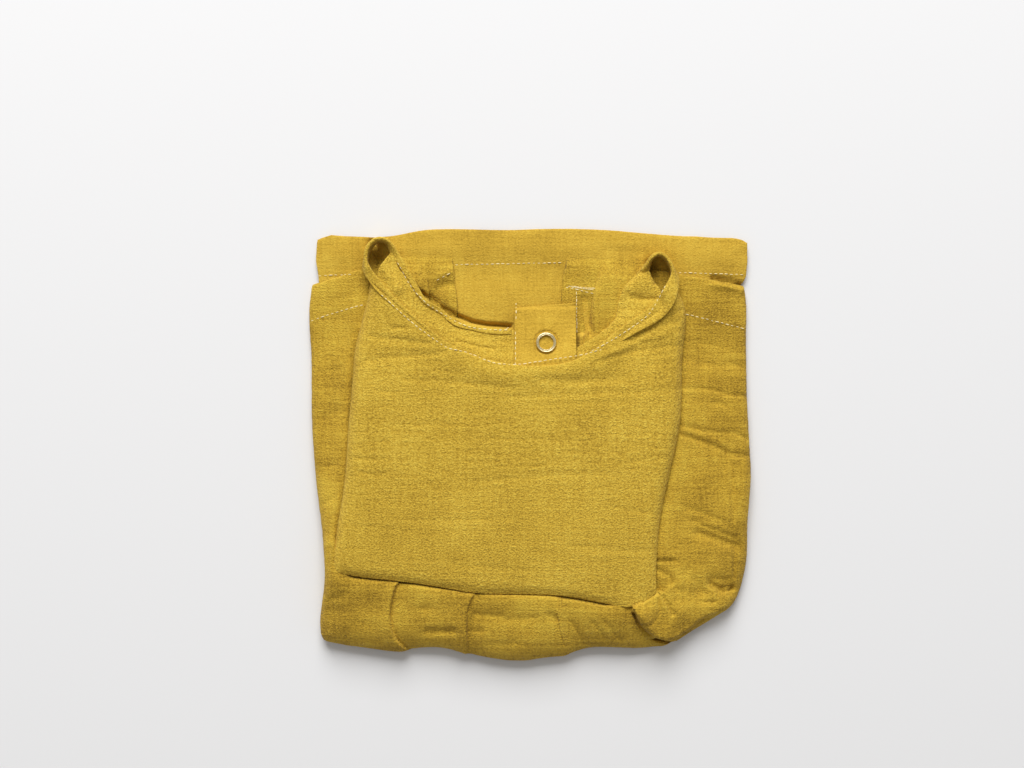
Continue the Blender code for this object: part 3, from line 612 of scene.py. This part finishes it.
# %% Creases of the skirt front, place by place
# Where the cloth goes down beside the shoulder loops, each layer has the same trough.
LEFT_SHOULDER_GAP = ((-79, 101), (-77, 96), (-74.5, 88), 2.8, -4.0)
RIGHT_SHOULDER_GAP = ((61, 91), (62, 84), 2.3, -4.0)
PLEAT_LINES = (  # thin dark lines where a fold laps over: places in millimetres, half width, height
    ((51.5, -83.5), (54, -89), (57.5, -93.3), (62.5, -96.8), (70, -99), 0.7, -5.5),
    ((58, -94), (64, -97.5), (70, -99.3), 0.9, -3.0),
    (*DEEP_PLEAT, (-65.5, -69), 0.6, -1.5),
    ((-30.9, -96), (-30.9, -82.5), (-29.3, -77.5), (-27.7, -74.3), 0.5, -1.0),
    ((13, -84), (15.2, -94), (16.8, -99.5), 0.5, -0.7),
)
BAND_CREASES = (  # below the waist seam
    ((-35, -77), (-35, -97), 0.8, -0.4),
    ((-54, -81), (-50, -81), 2.0, -0.6),
    ((-51, -92.5), (-38.5, -92.5), 1.9, -1.1),
    ((-37.8, -86), (-37.8, -93.5), 0.6, -0.5),
    ((-31, -92), (-24, -92), 1.4, -0.6),
    ((-27, -84), (-14, -85), 1.8, -0.8),
    ((-12, -86.5), (4, -85.5), 1.2, -0.5),
    ((10, -84.5), (12.5, -86), 2.0, -0.9),
    ((-20, -99.5), (-6, -98), 2.0, -0.4),
    ((20.5, -87.5), (23.5, -92.5), (27.5, -100), 0.8, -0.8),
    ((31, -87.5), (35, -93), (38.5, -98.5), 0.8, -0.7),
    ((36.5, -86.5), (41, -92.5), (45.5, -98), 0.8, -0.55),
)
CORNER_CREASES = (  # the turned-over corner at the lower right
    ((63.5, -77), (63.9, -82), (63, -85.5), (59.5, -89), 0.8, -0.7),
    ((66, -75.5), (69, -80), (71, -84), 1.3, -1.2),
    ((74, -84), (69, -91), 5.0, 1.4),
    ((65, -72), (73, -75.5), (83, -74), 4.5, -1.5),
    ((56, -84), (60, -92), 2.5, 0.5),
    ((85, -78), (92, -78.5), 0.9, -0.9),
    ((90, -69), (95, -72.3), (101, -71.8), 1.6, -2.4),
    ((91, -66), (98, -68), 2.2, -1.2),
    ((96, -73), (101, -72.5), 0.6, -0.9),
    ((62, -57.3), (72, -57.3), 0.7, -1.4),
    ((62, -55), (72, -55.2), 1.4, 0.4),
    ((64, -62), (70, -66), (73, -72), 1.5, -1.2),
    ((78, -62), (77, -72), 1.3, -0.9),
    ((82, -66), (86, -74), 2.0, -0.9),
    ((102.3, -50), (102, -66), 0.8, -0.8),
)
RIGHT_CREASES = (  # the folded-in right side
    ((81, -37.5), (92, -42), (103, -46.5), 0.9, -0.8),
    ((84, -44), (94, -47.5), (104, -50.5), 2.2, -1.6),
    ((78, -31), (88, -34.5), (97, -38.5), 0.9, -0.7),
    ((85, -38.5), (92, -40.5), 0.8, 0.5),
    ((97.3, -3.5), (97.3, -13), 0.9, -0.5),
    ((99.5, -6), (101.3, -18), (101.6, -38), 1.0, -0.9),
    ((98.8, -10), (99, -36), 0.8, 0.3),
    ((75, 10), (82, 8.5), (90, 6.3), (103, 6), (109, 3), 0.9, -0.9),
    ((75.5, 5.5), (85, 2), (93, -1), (100, -4.5), (110, -5.5), 0.9, -1.1),
    ((77, 7.7), (88, 3.8), (98, 0.5), 1.0, 0.45),
    ((76.5, 28.5), (91, 28), (98, 25.5), (108.5, 24.5), 0.9, -0.8),
    ((91, 21), (95, 20.7), (98.5, 19.5), 0.7, -0.8),
    ((84, 52), (87, 50.5), (96, 49.5), 1.0, -0.5),
    ((77, 43), (92, 40), (107, 39), 1.6, -0.5),
    ((99, 42), (102, 40.5), (108, 39.5), 0.9, -0.5),
    ((86, 24), (86, 4), 0.7, 0.25),
)
LEFT_CREASES = (  # the folded-in left side
    ((-104, 14), (-95, 17), 2.5, -0.5),
    ((-106, 36), (-94, 38), 1.2, -0.4),
    ((-107, -12), (-97, -10), 1.6, -0.4),
    ((-94, 66), (-90, 40), (-92, 10), 1.4, -0.4),
    ((-104, -30), (-98, -26), 1.6, -0.5),
    ((-100, 72), (-88, 75), 1.4, -0.3),
    ((-99.5, -50), (-101, -62), 1.2, -0.6),
    ((-100, -77), (-92, -74), 1.8, -0.5),
    ((-86, -88), (-78, -90), 3.0, -0.4),
)
FLAP_CREASES = (  # round the flaps' inner ends, in the neck's scoop
    ((-46.5, 84), (-42, 86.3), (-38, 87), 1.3, 1.0),
    ((-48.5, 73.5), (-47, 78), (-42, 80.5), (-37, 80), 2.0, -1.8),
    ((-56, 77), (-52, 74.5), (-46, 69.5), (-39, 65.5), (-34, 63.5), 1.2, -7.0),
    ((14.2, 88), (14.2, 69), 0.6, 0.5),
    LEFT_SHOULDER_GAP,
    RIGHT_SHOULDER_GAP,
    ((27.5, 73), (28.5, 64), (30.5, 56), 1.9, -4.0),
    ((17, 79.8), (32, 79.2), 0.8, -0.7),
    ((92, 80.3), (100, 79), (106.5, 77.3), 1.3, 1.3),
)
SKIRT_CREASES = PLEAT_LINES + BAND_CREASES + CORNER_CREASES + RIGHT_CREASES + LEFT_CREASES + FLAP_CREASES
print("skirt front:", len(SKIRT_STEPS), "steps and", len(SKIRT_CREASES), "creases")

# %% Skirt front
SKIRT_SHIFTS = (  # place, radius, and how far the cloth lies out across and along
    ((-107, -99.5), 5.0, -1.2, -1.6), ((-111, 81), 3.5, -0.5, 0.6), ((109, 80), 3.5, 0.5, 0.5),
)
skirt = fine_copy("skirt_front", levels=2)
refine(skirt, [SEAM, LEFT_FLAP_END, *lines_of(SKIRT_STEPS, SKIRT_CREASES)], reach=3.2)
refine(skirt, [SEAM[1:], *lines_of(SKIRT_STEPS)], reach=1.6)
refine(skirt, lines_of((SKIRT_STEPS[0], SKIRT_STEPS[3])), reach=1.0)
press(skirt, SKIRT_CREASES, SKIRT_STEPS, against_bodice, SKIRT_SHIFTS)
press(skirt, extra=puffed, floor=0)
skirt = crinkled(skirt, crinkle_height=0.45, slub_height=0.4)
finish_cloth(skirt, "skirt_front", skirt_gauze, flat=(620, 72), area=30300)

# %% [markdown]
# ## The skirt back's hem
#
# Behind the neck the skirt back's hem sticks out, double and pressed flat. It goes down between the
# layers in front of it, along the back's neck edge and beside the shoulders. Those troughs are narrow
# and deep, so the faces near them are cut finer in several rounds, and each later round takes only the
# edges that are still long. Finer faces all over would make the piece too heavy.

# %% Skirt back
HEM_CREASES = (  # places in millimetres, half width, height
    ((-56, 77), (-52, 74.5), (-46, 69.5), (-39, 65.8), (-34, 63.8), (-29, 61.8), (-22, 60.4),
     (-10, 59.6), 0.95, -4.0),
    ((25.5, 45), (26, 54), 2.5, 4.5),
    LEFT_SHOULDER_GAP,
    RIGHT_SHOULDER_GAP,
    ((92, 83.5), (100, 82), (107, 80), 1.2, -2.8),
    ((38, 98), (58, 96.5), 2.0, -0.5),
    ((15, 97), (15.5, 88), 0.7, 0.4),
    ((-50, 103), (-47, 90), 1.6, -0.4),
    ((-96, 104), (-96, 86), 1.5, 0.2),
    ((-94, 96), (-50, 98), (0, 98.5), (60, 96.5), (98, 94), 6.0, 0.6),
)
HEM_SHIFTS = (  # place, radius, and how far the cloth lies out across and along
    ((106, 84), 5.0, 2.5, -0.5), ((106, 101), 7.0, 1.1, 0.9), ((107, 92), 6.0, 1.3, 0),
    ((-105.5, 101), 6.0, -1.0, 0.9), ((-106, 92), 6.0, -1.2, 0),
)
HEM_CUTS = (  # how far from the lines, and the length in millimetres up to which an edge is left
    (11.0, 0.0), (8.0, 2.0), (5.0, 1.5), (5.0, 1.2), (4.0, 0.9), (4.0, 0.9),
)
hem = fine_copy("skirt_back", levels=3)
for reach, longest in HEM_CUTS:
    refine(hem, lines_of(HEM_CREASES[:3]), reach, deepest_z=0.5, longest=longest, facing=-1.0)
press(hem, HEM_CREASES, extra=puffed, shifts=HEM_SHIFTS, floor=0)
hem = crinkled(hem, crinkle_height=0.25, slub_height=0.25)
finish_cloth(hem, "skirt_back", hem_gauze, flat=(216, 73), area=12600)

# %% [markdown]
# ## What shows in the neck
#
# In the scoop of the neck lie the inside of the two backs, the placket tab between them and the
# folded-in sleeves below. They are small, so one loop makes them all from a table, and each has its own
# creases. Their edges are tucked under a neighbour: the backs and the placket rise to the front
# neckline, and the sleeves' ends go down into the hem.

# %% Where the neck's pieces are tucked under
NECK_LINE = ((-75.5, 83), (-64, 70.5), (-52, 60), (-37.5, 48.8), (-28, 45), (-13, 41), (2.5, 39.5),
             (17.5, 41), (30, 46.5), (39.5, 54.5), (50, 62.5))
NECK_RISE = 1.3
NECK_REACH = 7.0


def under_neckline(x, y):
    """The backs and the placket rise to meet the front neckline, which they go in under."""
    return NECK_RISE * bell(nearest_on(x, y, NECK_LINE)[0], NECK_REACH)


SLEEVE_SINK = 4.3  # how far the sleeves' upper ends go down, into the skirt back's hem
SLEEVE_END = (80, 99)  # y where that starts and is full


def under_hem(x, y):
    """The sleeves' ends go down into the hem."""
    return -SLEEVE_SINK * ramp(y, *SLEEVE_END)


NECK_PIECES = (  # node, flat width and length, flat area, gauze, crinkle height, where its edge goes
    ("bodice_back_left", (75, 30), 1820, front_gauze, 0.45, under_neckline),
    ("bodice_back_right", (55, 20), 950, front_gauze, 0.45, under_neckline),
    ("placket", (31, 43), 1330, hem_gauze, 0.3, under_neckline),
    ("sleeve_left", (20, 50), 925, skirt_gauze, 0.3, under_hem),
    ("sleeve_right", (32, 53), 1560, skirt_gauze, 0.3, under_hem),
)

# %% Creases round the neck
SNAP_PLACE = (8.0, 51.2)
SNAP_DENT = 5.7  # the radius of the dent that the snap presses into the placket
ROUND_SNAP = [
    (SNAP_PLACE[0] + SNAP_DENT * np.cos(turn), SNAP_PLACE[1] + SNAP_DENT * np.sin(turn))
    for turn in np.linspace(0, 2 * np.pi, 25)
]
NECK_CREASES = {  # places in millimetres, half width, height
    "bodice_back_left": (
        ((-36, 52), (-28, 49.5), (-18, 48), 0.9, -0.7),
        ((-30, 54), (-12, 52), 1.2, -0.3),
        ((-76, 97), (-73, 88), (-66, 78), 3.0, 2.0),
    ),
    "bodice_back_right": (
        ((52, 78.5), (56, 80), 6.0, 1.6),
        ((50, 74), (56, 72.8), (62.5, 72.8), 1.7, -0.9),
        ((57, 88), (46, 80), (44.5, 64), 1.8, -0.8),
        ((52, 86), (49, 76), 1.0, -0.5),
        ((63, 91), (63.5, 82), 1.6, -3.0),
    ),
    "placket": (
        ((-5.8, 66), (-5.8, 40), 0.7, -0.35),
        ((23.2, 73), (23.2, 45), 0.9, 0.8),
        ((-7, 69), (22, 69.5), 1.0, -0.4),
        (*ROUND_SNAP, 0.6, -0.7),
    ),
    "sleeve_left": (
        ((-56, 100), (-53, 70), 1.6, -0.5),
        ((-58, 104), (-56, 84), 1.2, 0.3),
        ((-53, 101), (-52, 85), (-51, 77), 2.2, -1.5),
        ((-56, 77), (-52, 74.5), (-46, 69.5), (-39, 65.5), 1.2, -3.5),
    ),
    "sleeve_right": (
        ((35, 97), (34, 80), 1.5, -0.5),
        ((40, 96), (58, 96), 2.2, -0.7),
        ((44, 92), (47, 70), 1.6, -0.5),
        ((34.5, 98), (31.5, 80), (28.5, 60), 2.2, -1.6),
        ((28, 73), (28.8, 64), (30.5, 56), 1.7, -3.0),
        RIGHT_SHOULDER_GAP,
        ((58, 100), (56, 86), 2.5, -1.2),
    ),
}
NECK_SHIFTS = {  # place, radius, and how far the cloth lies across and along from its solid
    "bodice_back_left": (
        ((-66, 85), 9.0, -7.0, 0.5), ((-50, 75), 7.0, -1.2, -1.8), ((-36, 65), 8.0, -0.6, -2.4),
    ),
    "bodice_back_right": (((57, 86), 8.0, 3.5, 3.0), ((61.5, 75.5), 6.5, 5.0, 0.5)),
    "sleeve_right": (((30, 52), 6.0, -4.0, -3.0),),
}

# %% Backs, placket and sleeves
for node, flat, area, material, crinkle_height, tucked in NECK_PIECES:
    piece = fine_copy(node, levels=3)
    refine(piece, lines_of(NECK_CREASES[node]), reach=2.0, deepest_z=2.0)
    press(piece, NECK_CREASES[node], extra=tucked, shifts=NECK_SHIFTS.get(node, ()))
    finish_cloth(crinkled(piece, crinkle_height, slub_height=0.25), node, material, flat, area)

# %% [markdown]
# ## The neck binding
#
# The neckline is bound with a narrow strip that is turned to the inside, so from above only its rolled
# edge shows. It sinks into the cloth along the front and the backs, and stands free over the shoulders,
# where it is all that shows of the straps. A bevelled curve would make an even roll, but the solid
# already has the strip's bends. So the solid is kept, and over the shoulders it is made thicker and
# reaches down, which leaves a dark hollow in each loop.

# %% How deep the strip sinks into the cloth
BINDING_SINKS = (  # a line along the strip, and how much it sinks there
    (((-75.5, 83), (-64, 70.5), (-52, 60)), 1.6),
    (((-44, 53.7), (-28, 45)), 1.8),
    (((-13, 41), (17.5, 41)), 2.5),
    (((30, 46.5), (50, 62.5), (61, 70)), 2.9),
    (((18, 41), (27, 43)), 4.5),
    (((-26, 43.5), (-17, 41)), 4.0),
    (((-64, 93.5), (-43.5, 69), (-24.5, 59.2), (-9, 58.4)), 1.1),
    (((51, 83.5), (44, 71), (43, 63.5), (29.5, 52.5)), 3.2),
)
SINK_REACH = 5.0
SINK_FULL = 0.6  # from this weight on a place sinks in full


def binding_sink(x, y):
    """The sink of the nearest lines, blended."""
    weights = np.array([bell(nearest_on(x, y, line)[0], SINK_REACH) for line, _ in BINDING_SINKS])
    sinks = np.array([sink for _, sink in BINDING_SINKS])
    total = weights.sum(axis=0)
    return -(weights * sinks[:, None]).sum(axis=0) / np.maximum(total, SINK_FULL)


# %% The loops over the shoulders
BINDING_CREASES = (((-78, 80), (-66.5, 69.5), (-54, 58.5), (-46, 52.5), 0.6, -0.7),)
BINDING_SHIFTS = NECK_SHIFTS["bodice_back_left"][1:]  # the strip moves with the back it is sewn to
LOOPS = (((-80, 96), 13.0), ((62, 88), 11.0))  # where the strip stands free: place and radius
SWELL = 0.5
LOOP_TOP, LOOP_BOTTOM = 13.8, 3.2  # heights between which the strip is stretched down
LOOP_DEPTH = 2.6  # how many times deeper the strip goes down there, as the straps' cloth does below it


def swell(piece):
    """Makes the strip thicker and deeper at the loops, where nothing presses it flat."""
    points, normals = points_of(piece)
    for place, radius in LOOPS:
        near = np.exp(-((np.hypot(*(points[:, :2] - place).T) / radius) ** 4))
        points += normals * (SWELL * near)[:, None]
        z = points[:, 2]
        deeper = LOOP_TOP - (LOOP_TOP - z) * LOOP_DEPTH
        points[:, 2] = np.where(z < LOOP_TOP, np.maximum(z + near * (deeper - z), LOOP_BOTTOM), z)
    set_points(piece, points)


# %% Neck binding
binding = fine_copy("neck_binding", levels=3)
swell(binding)
press(binding, BINDING_CREASES, extra=binding_sink, shifts=BINDING_SHIFTS)
binding = crinkled(binding, crinkle_height=0.25, slub_height=0.1)
finish_cloth(binding, "neck_binding", front_gauze, flat=(400, 10), area=1850)

# %% [markdown]
# ## The hidden layers
#
# All the cloth that the folds hide is one rounded solid. Only its layered edge peeps out below the
# others, so it needs no creases, just a little smoothing and the same gauze.

# %% Hidden layers
core = fine_copy("hidden_layers", levels=1)
finish_cloth(core, "hidden_layers", skirt_gauze)  # not one sheet, so it is given no flat size or area

# %% [markdown]
# ## Stitches
#
# The dress is sewn with off-white thread, and its topstitching shows as rows of short bright dashes
# 2.5 mm apart. Drawn as a bump they would lie flat under the light, and set by hand they would take
# hours. So a row is a line, dropped on to the finished cloth from above, and Geometry Nodes sets one
# small bead of thread at each step of the line, turned along it.


# %% Lay a line on the cloth
ABOVE = 60  # millimetres: higher than anything here


def highest(pieces):
    """A function that gives the height of the topmost of these pieces at a place, in millimetres."""
    graph = bpy.context.evaluated_depsgraph_get()
    trees = [BVHTree.FromObject(piece, graph) for piece in pieces]

    def height(x, y):
        start, down = Vector((x * MM, y * MM, ABOVE * MM)), Vector((0, 0, -1))
        hits = [found.ray_cast(start, down)[0] for found in trees]
        return max([hit.z / MM for hit in hits if hit], default=None)

    return height


def curve_through(places, spacing=1.0):
    """Places evenly along a smooth line through a short table, spacing millimetres apart."""
    table = np.array(places, float)
    reach = np.concatenate([[0], np.cumsum(np.linalg.norm(np.diff(table, axis=0), axis=1))])
    if len(table) > 2:
        slope = np.gradient(table, reach, axis=0)
    else:
        slope = np.repeat(np.diff(table, axis=0) / reach[-1], 2, 0)
    found = []
    for wanted in np.linspace(0, reach[-1], max(2, round(reach[-1] / spacing))):
        k = min(np.searchsorted(reach, wanted, side="right") - 1, len(table) - 2)
        span = reach[k + 1] - reach[k]
        t = (wanted - reach[k]) / span
        found.append(
            (2 * t**3 - 3 * t**2 + 1) * table[k] + (t**3 - 2 * t**2 + t) * span * slope[k]
            + (3 * t**2 - 2 * t**3) * table[k + 1] + (t**3 - t**2) * span * slope[k + 1]
        )
    return np.array(found)


# %% One stitch and the tree that repeats it
STITCH_PITCH = 2.55
STITCH_LENGTH = 2.0
THREAD = 0.5  # thickness; drawn a little thicker than the real 0.3 mm so that it shows
BEAD_SEGMENTS, BEAD_RINGS = 8, 6
ASTRAY_LOW = (-0.1, -0.12, -0.3)  # how far a stitch may lie from its place, in millimetres
ASTRAY_HIGH = (0.1, 0.12, 0.1)
SMALLEST, LARGEST = 0.7, 1.15  # times a stitch's size: rows guided by hand are never quite even


def stitch_tree(material):
    """Sets a bead of thread, drawn out along the line, at each step of it."""
    tree = bpy.data.node_groups.new("sew", "GeometryNodeTree")
    tree.interface.new_socket("Geometry", in_out="INPUT", socket_type="NodeSocketGeometry")
    for name in ("Pitch", "Length", "Thread"):
        tree.interface.new_socket(name, in_out="INPUT", socket_type="NodeSocketFloat")
    tree.interface.new_socket("Geometry", in_out="OUTPUT", socket_type="NodeSocketGeometry")
    given = add(tree, "NodeGroupInput")
    line = add(tree, "GeometryNodeMeshToCurve", {"Mesh": given.outputs["Geometry"]})
    steps = add(tree, "GeometryNodeResampleCurve",
                {"Curve": line.outputs[0], "Length": given.outputs["Pitch"]}, mode="LENGTH")
    along = add(tree, "GeometryNodeInputTangent").outputs[0]
    turn = add(tree, "FunctionNodeAlignRotationToVector", {"Vector": along}, axis="X").outputs[0]
    bead = add(tree, "GeometryNodeMeshUVSphere",
               {"Segments": BEAD_SEGMENTS, "Rings": BEAD_RINGS, "Radius": 0.5})
    length, thickness = given.outputs["Length"], given.outputs["Thread"]
    size = add(tree, "ShaderNodeCombineXYZ", {0: length, 1: thickness, 2: thickness})
    astray = {0: [v * MM for v in ASTRAY_LOW], 1: [v * MM for v in ASTRAY_HIGH]}
    off = add(tree, "FunctionNodeRandomValue", astray, data_type="FLOAT_VECTOR")
    places = add(tree, "GeometryNodeSetPosition", {"Geometry": steps.outputs[0], "Offset": off.outputs[0]})
    uneven = add(tree, "FunctionNodeRandomValue", {2: SMALLEST, 3: LARGEST, "Seed": 4}, data_type="FLOAT")
    scale = add(tree, "ShaderNodeVectorMath", {0: size.outputs[0], "Scale": uneven.outputs[1]},
                operation="SCALE")
    beads = add(tree, "GeometryNodeInstanceOnPoints",
                {"Points": places.outputs[0], "Instance": bead.outputs[0], "Rotation": turn,
                 "Scale": scale.outputs[0]})
    real = add(tree, "GeometryNodeRealizeInstances", {"Geometry": beads.outputs[0]})
    dressed = add(tree, "GeometryNodeSetMaterial", {"Geometry": real.outputs[0], "Material": material})
    add(tree, "NodeGroupOutput", {"Geometry": dressed.outputs[0]})
    return tree


# Spun polyester thread, smoother and paler than the cotton, so that each stitch is a bright dash.
thread_material, tree, shader = new_material("off_white_polyester_thread")
shader.inputs["Base Color"].default_value = linear("EDDCA4")
shader.inputs["Roughness"].default_value = 0.55
shader.inputs["Sheen Weight"].default_value = 0.2
SEW = stitch_tree(thread_material)


def sew(name, places, on, lift=0.1, pitch=STITCH_PITCH):
    """One row of stitches through these places, laid on the topmost of some pieces. lift is how far the
    thread's middle lies above the cloth, and pitch is from one stitch to the next."""
    height = highest(on)
    points = [(x, y, height(x, y)) for x, y in curve_through(places)]
    points = [(x * MM, y * MM, (z + lift) * MM) for x, y, z in points if z is not None]
    mesh = bpy.data.meshes.new(name)
    mesh.from_pydata(points, [(i, i + 1) for i in range(len(points) - 1)], [])
    line = placed(name + "_line", mesh)
    modifier = line.modifiers.new("sew", "NODES")
    modifier.node_group = SEW
    for socket, value in (("Pitch", pitch), ("Length", STITCH_LENGTH), ("Thread", THREAD)):
        modifier[socket_of(SEW, socket)] = value * MM
    line.update_tag()
    piece = plain(line, name)
    piece.data.shade_smooth()
    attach(piece, "root")
    print(name, "has", len(piece.data.polygons) // (BEAD_SEGMENTS * BEAD_RINGS), "stitches")
    return piece


# %% Rows of stitches
SKIRT_STITCHES = {
    "stitches_hem_left": ((-109, 62.5), (-97, 66.5), (-84.5, 70)),
    "stitches_hem_left_inner": ((-46, 83), (-41, 85.5)),
    "stitches_hem_right": ((18.5, 79), (40, 74), (76.5, 66), (106.5, 58.5)),
    "stitches_hem_back_left": ((-105.5, 85), (-90.5, 85.5)),
    "stitches_hem_back": ((-37, 90.5), (-10, 91), (15, 91.5)),
    "stitches_hem_back_right": ((75.5, 86.5), (92, 86), (106.5, 85.5)),
}
for name, places in SKIRT_STITCHES.items():
    sew(name, places, [skirt, hem])

NECK_STITCHES = ((-73.5, 74.5), (-67.5, 69), (-59.5, 61.7), (-51.5, 55.5), (-40, 48.2), (-32.5, 46.5),
                 (-24.5, 43.5), (-18, 41), (-8.5, 40.1), (0, 40), (12, 41), (35, 47.5))
sew("stitches_neck_front", NECK_STITCHES, [bodice, binding])
RIGHT_STITCHES = ((14, 41.8), (22.5, 43.5), (30, 46.7), (37.5, 50.5), (45, 55), (52.5, 60), (59, 65.3),
                  (63.5, 72.5), (66.8, 79), (69.3, 84))
sew("stitches_neck_right", RIGHT_STITCHES, [bodice, binding])
INNER_STITCHES = ((-65.7, 90.5), (-59.3, 79.1), (-51.3, 70.5), (-44, 65.6), (-30, 59), (-12, 57.5))
back_left = bpy.data.objects["bodice_back_left_cloth"]
placket = bpy.data.objects["placket_cloth"]
sew("stitches_neck_back", INNER_STITCHES, [back_left, binding])
sew("stitches_placket_left", ((-7.3, 56), (-7.3, 40.5)), [placket])
sew("stitches_placket_right", ((23.3, 76), (23.4, 66), (23.6, 57)), [placket, skirt, hem], pitch=1.8)
# Where the flap's corner is tacked down, the thread goes to and fro in a bar.
sew("stitches_flap_bar", ((19.5, 79.6), (27, 78.9), (34.5, 78.2)), [skirt, hem, placket], pitch=1.4)
sew("stitches_flap_bar_second", ((21.5, 79), (27, 78.3), (31, 77.9)), [skirt, hem, placket], pitch=1.2)
sew("thread_end", ((-15, 57.2), (-12.5, 57.6), (-10, 59.6)), [back_left, binding, hem])
sew("stitches_placket_corner", ((-7, 71), (-7, 63.5)), [placket, hem])

# %% [markdown]
# ## The ring snap
#
# The snap's open half is a nickel-plated brass ring pressed through the placket. A torus would be too
# plain: the real ring has a rolled outside, a narrow inner lip and a groove between them. It is a turned
# shape, so its profile is spun round its middle, from the table of the profile's corners.

# %% Ring snap
SNAP_OUTER = 10.3
SNAP_INNER = 7.3
SNAP_HEIGHT = 1.0
SNAP_SET = 0.3  # how deep it is set into the placket
SNAP_STEPS = 64
# Brass, stamped, rolled and nickel plated: a soft shine. Its colour is tinted warm, a painted reflection of
# the yellow cloth round it.
metal, tree, shader = new_material("nickel_plated_brass")
shader.inputs["Base Color"].default_value = linear("E6D9AE")
shader.inputs["Metallic"].default_value = 1.0
shader.inputs["Roughness"].default_value = 0.3
low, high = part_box("snap_ring")
centre = (low + high) / 2


def spun(name, profile, steps):
    """A closed ring from a profile of radius and height in millimetres."""
    shape = bmesh.new()
    rings = []
    for k in range(steps):
        turn = 2 * np.pi * k / steps
        points = [(r * MM * np.cos(turn), r * MM * np.sin(turn), h * MM) for r, h in profile]
        rings.append([shape.verts.new(point) for point in points])
    for k in range(steps):
        here, beyond = rings[k], rings[(k + 1) % steps]
        for i in range(len(profile)):
            j = (i + 1) % len(profile)
            shape.faces.new((here[i], beyond[i], beyond[j], here[j]))
    bmesh.ops.recalc_face_normals(shape, faces=shape.faces)
    mesh = bpy.data.meshes.new(name)
    shape.to_mesh(mesh)
    shape.free()
    return mesh


SNAP_PROFILE = (  # radius and height, from the hole over the inner lip, the groove and the roll
    (SNAP_INNER / 2, 0.0), (SNAP_INNER / 2, 0.5), (3.8, 0.85), (4.0, 0.7), (4.15, 0.15), (4.3, 0.7),
    (4.6, 0.95), (4.9, 0.7), (SNAP_OUTER / 2, 0.2), (SNAP_OUTER / 2 - 0.1, -0.1),
)
ring = placed("ring_snap", spun("ring_snap", SNAP_PROFILE, SNAP_STEPS))
tilt = np.arctan2((high.z - low.z) / MM - SNAP_HEIGHT, SNAP_OUTER)  # it leans as the placket does
for vert in ring.data.vertices:
    x, y, z = vert.co
    vert.co = (x + centre.x, y + centre.y, z + centre.z - SNAP_SET * MM - y * np.tan(tilt))
ring.data.materials.append(metal)
ring.data.shade_smooth()
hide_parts("snap_ring")
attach(ring, "root")
print("ring snap:", SNAP_OUTER, "mm across, leaning", round(float(np.degrees(tilt)), 1), "degrees")
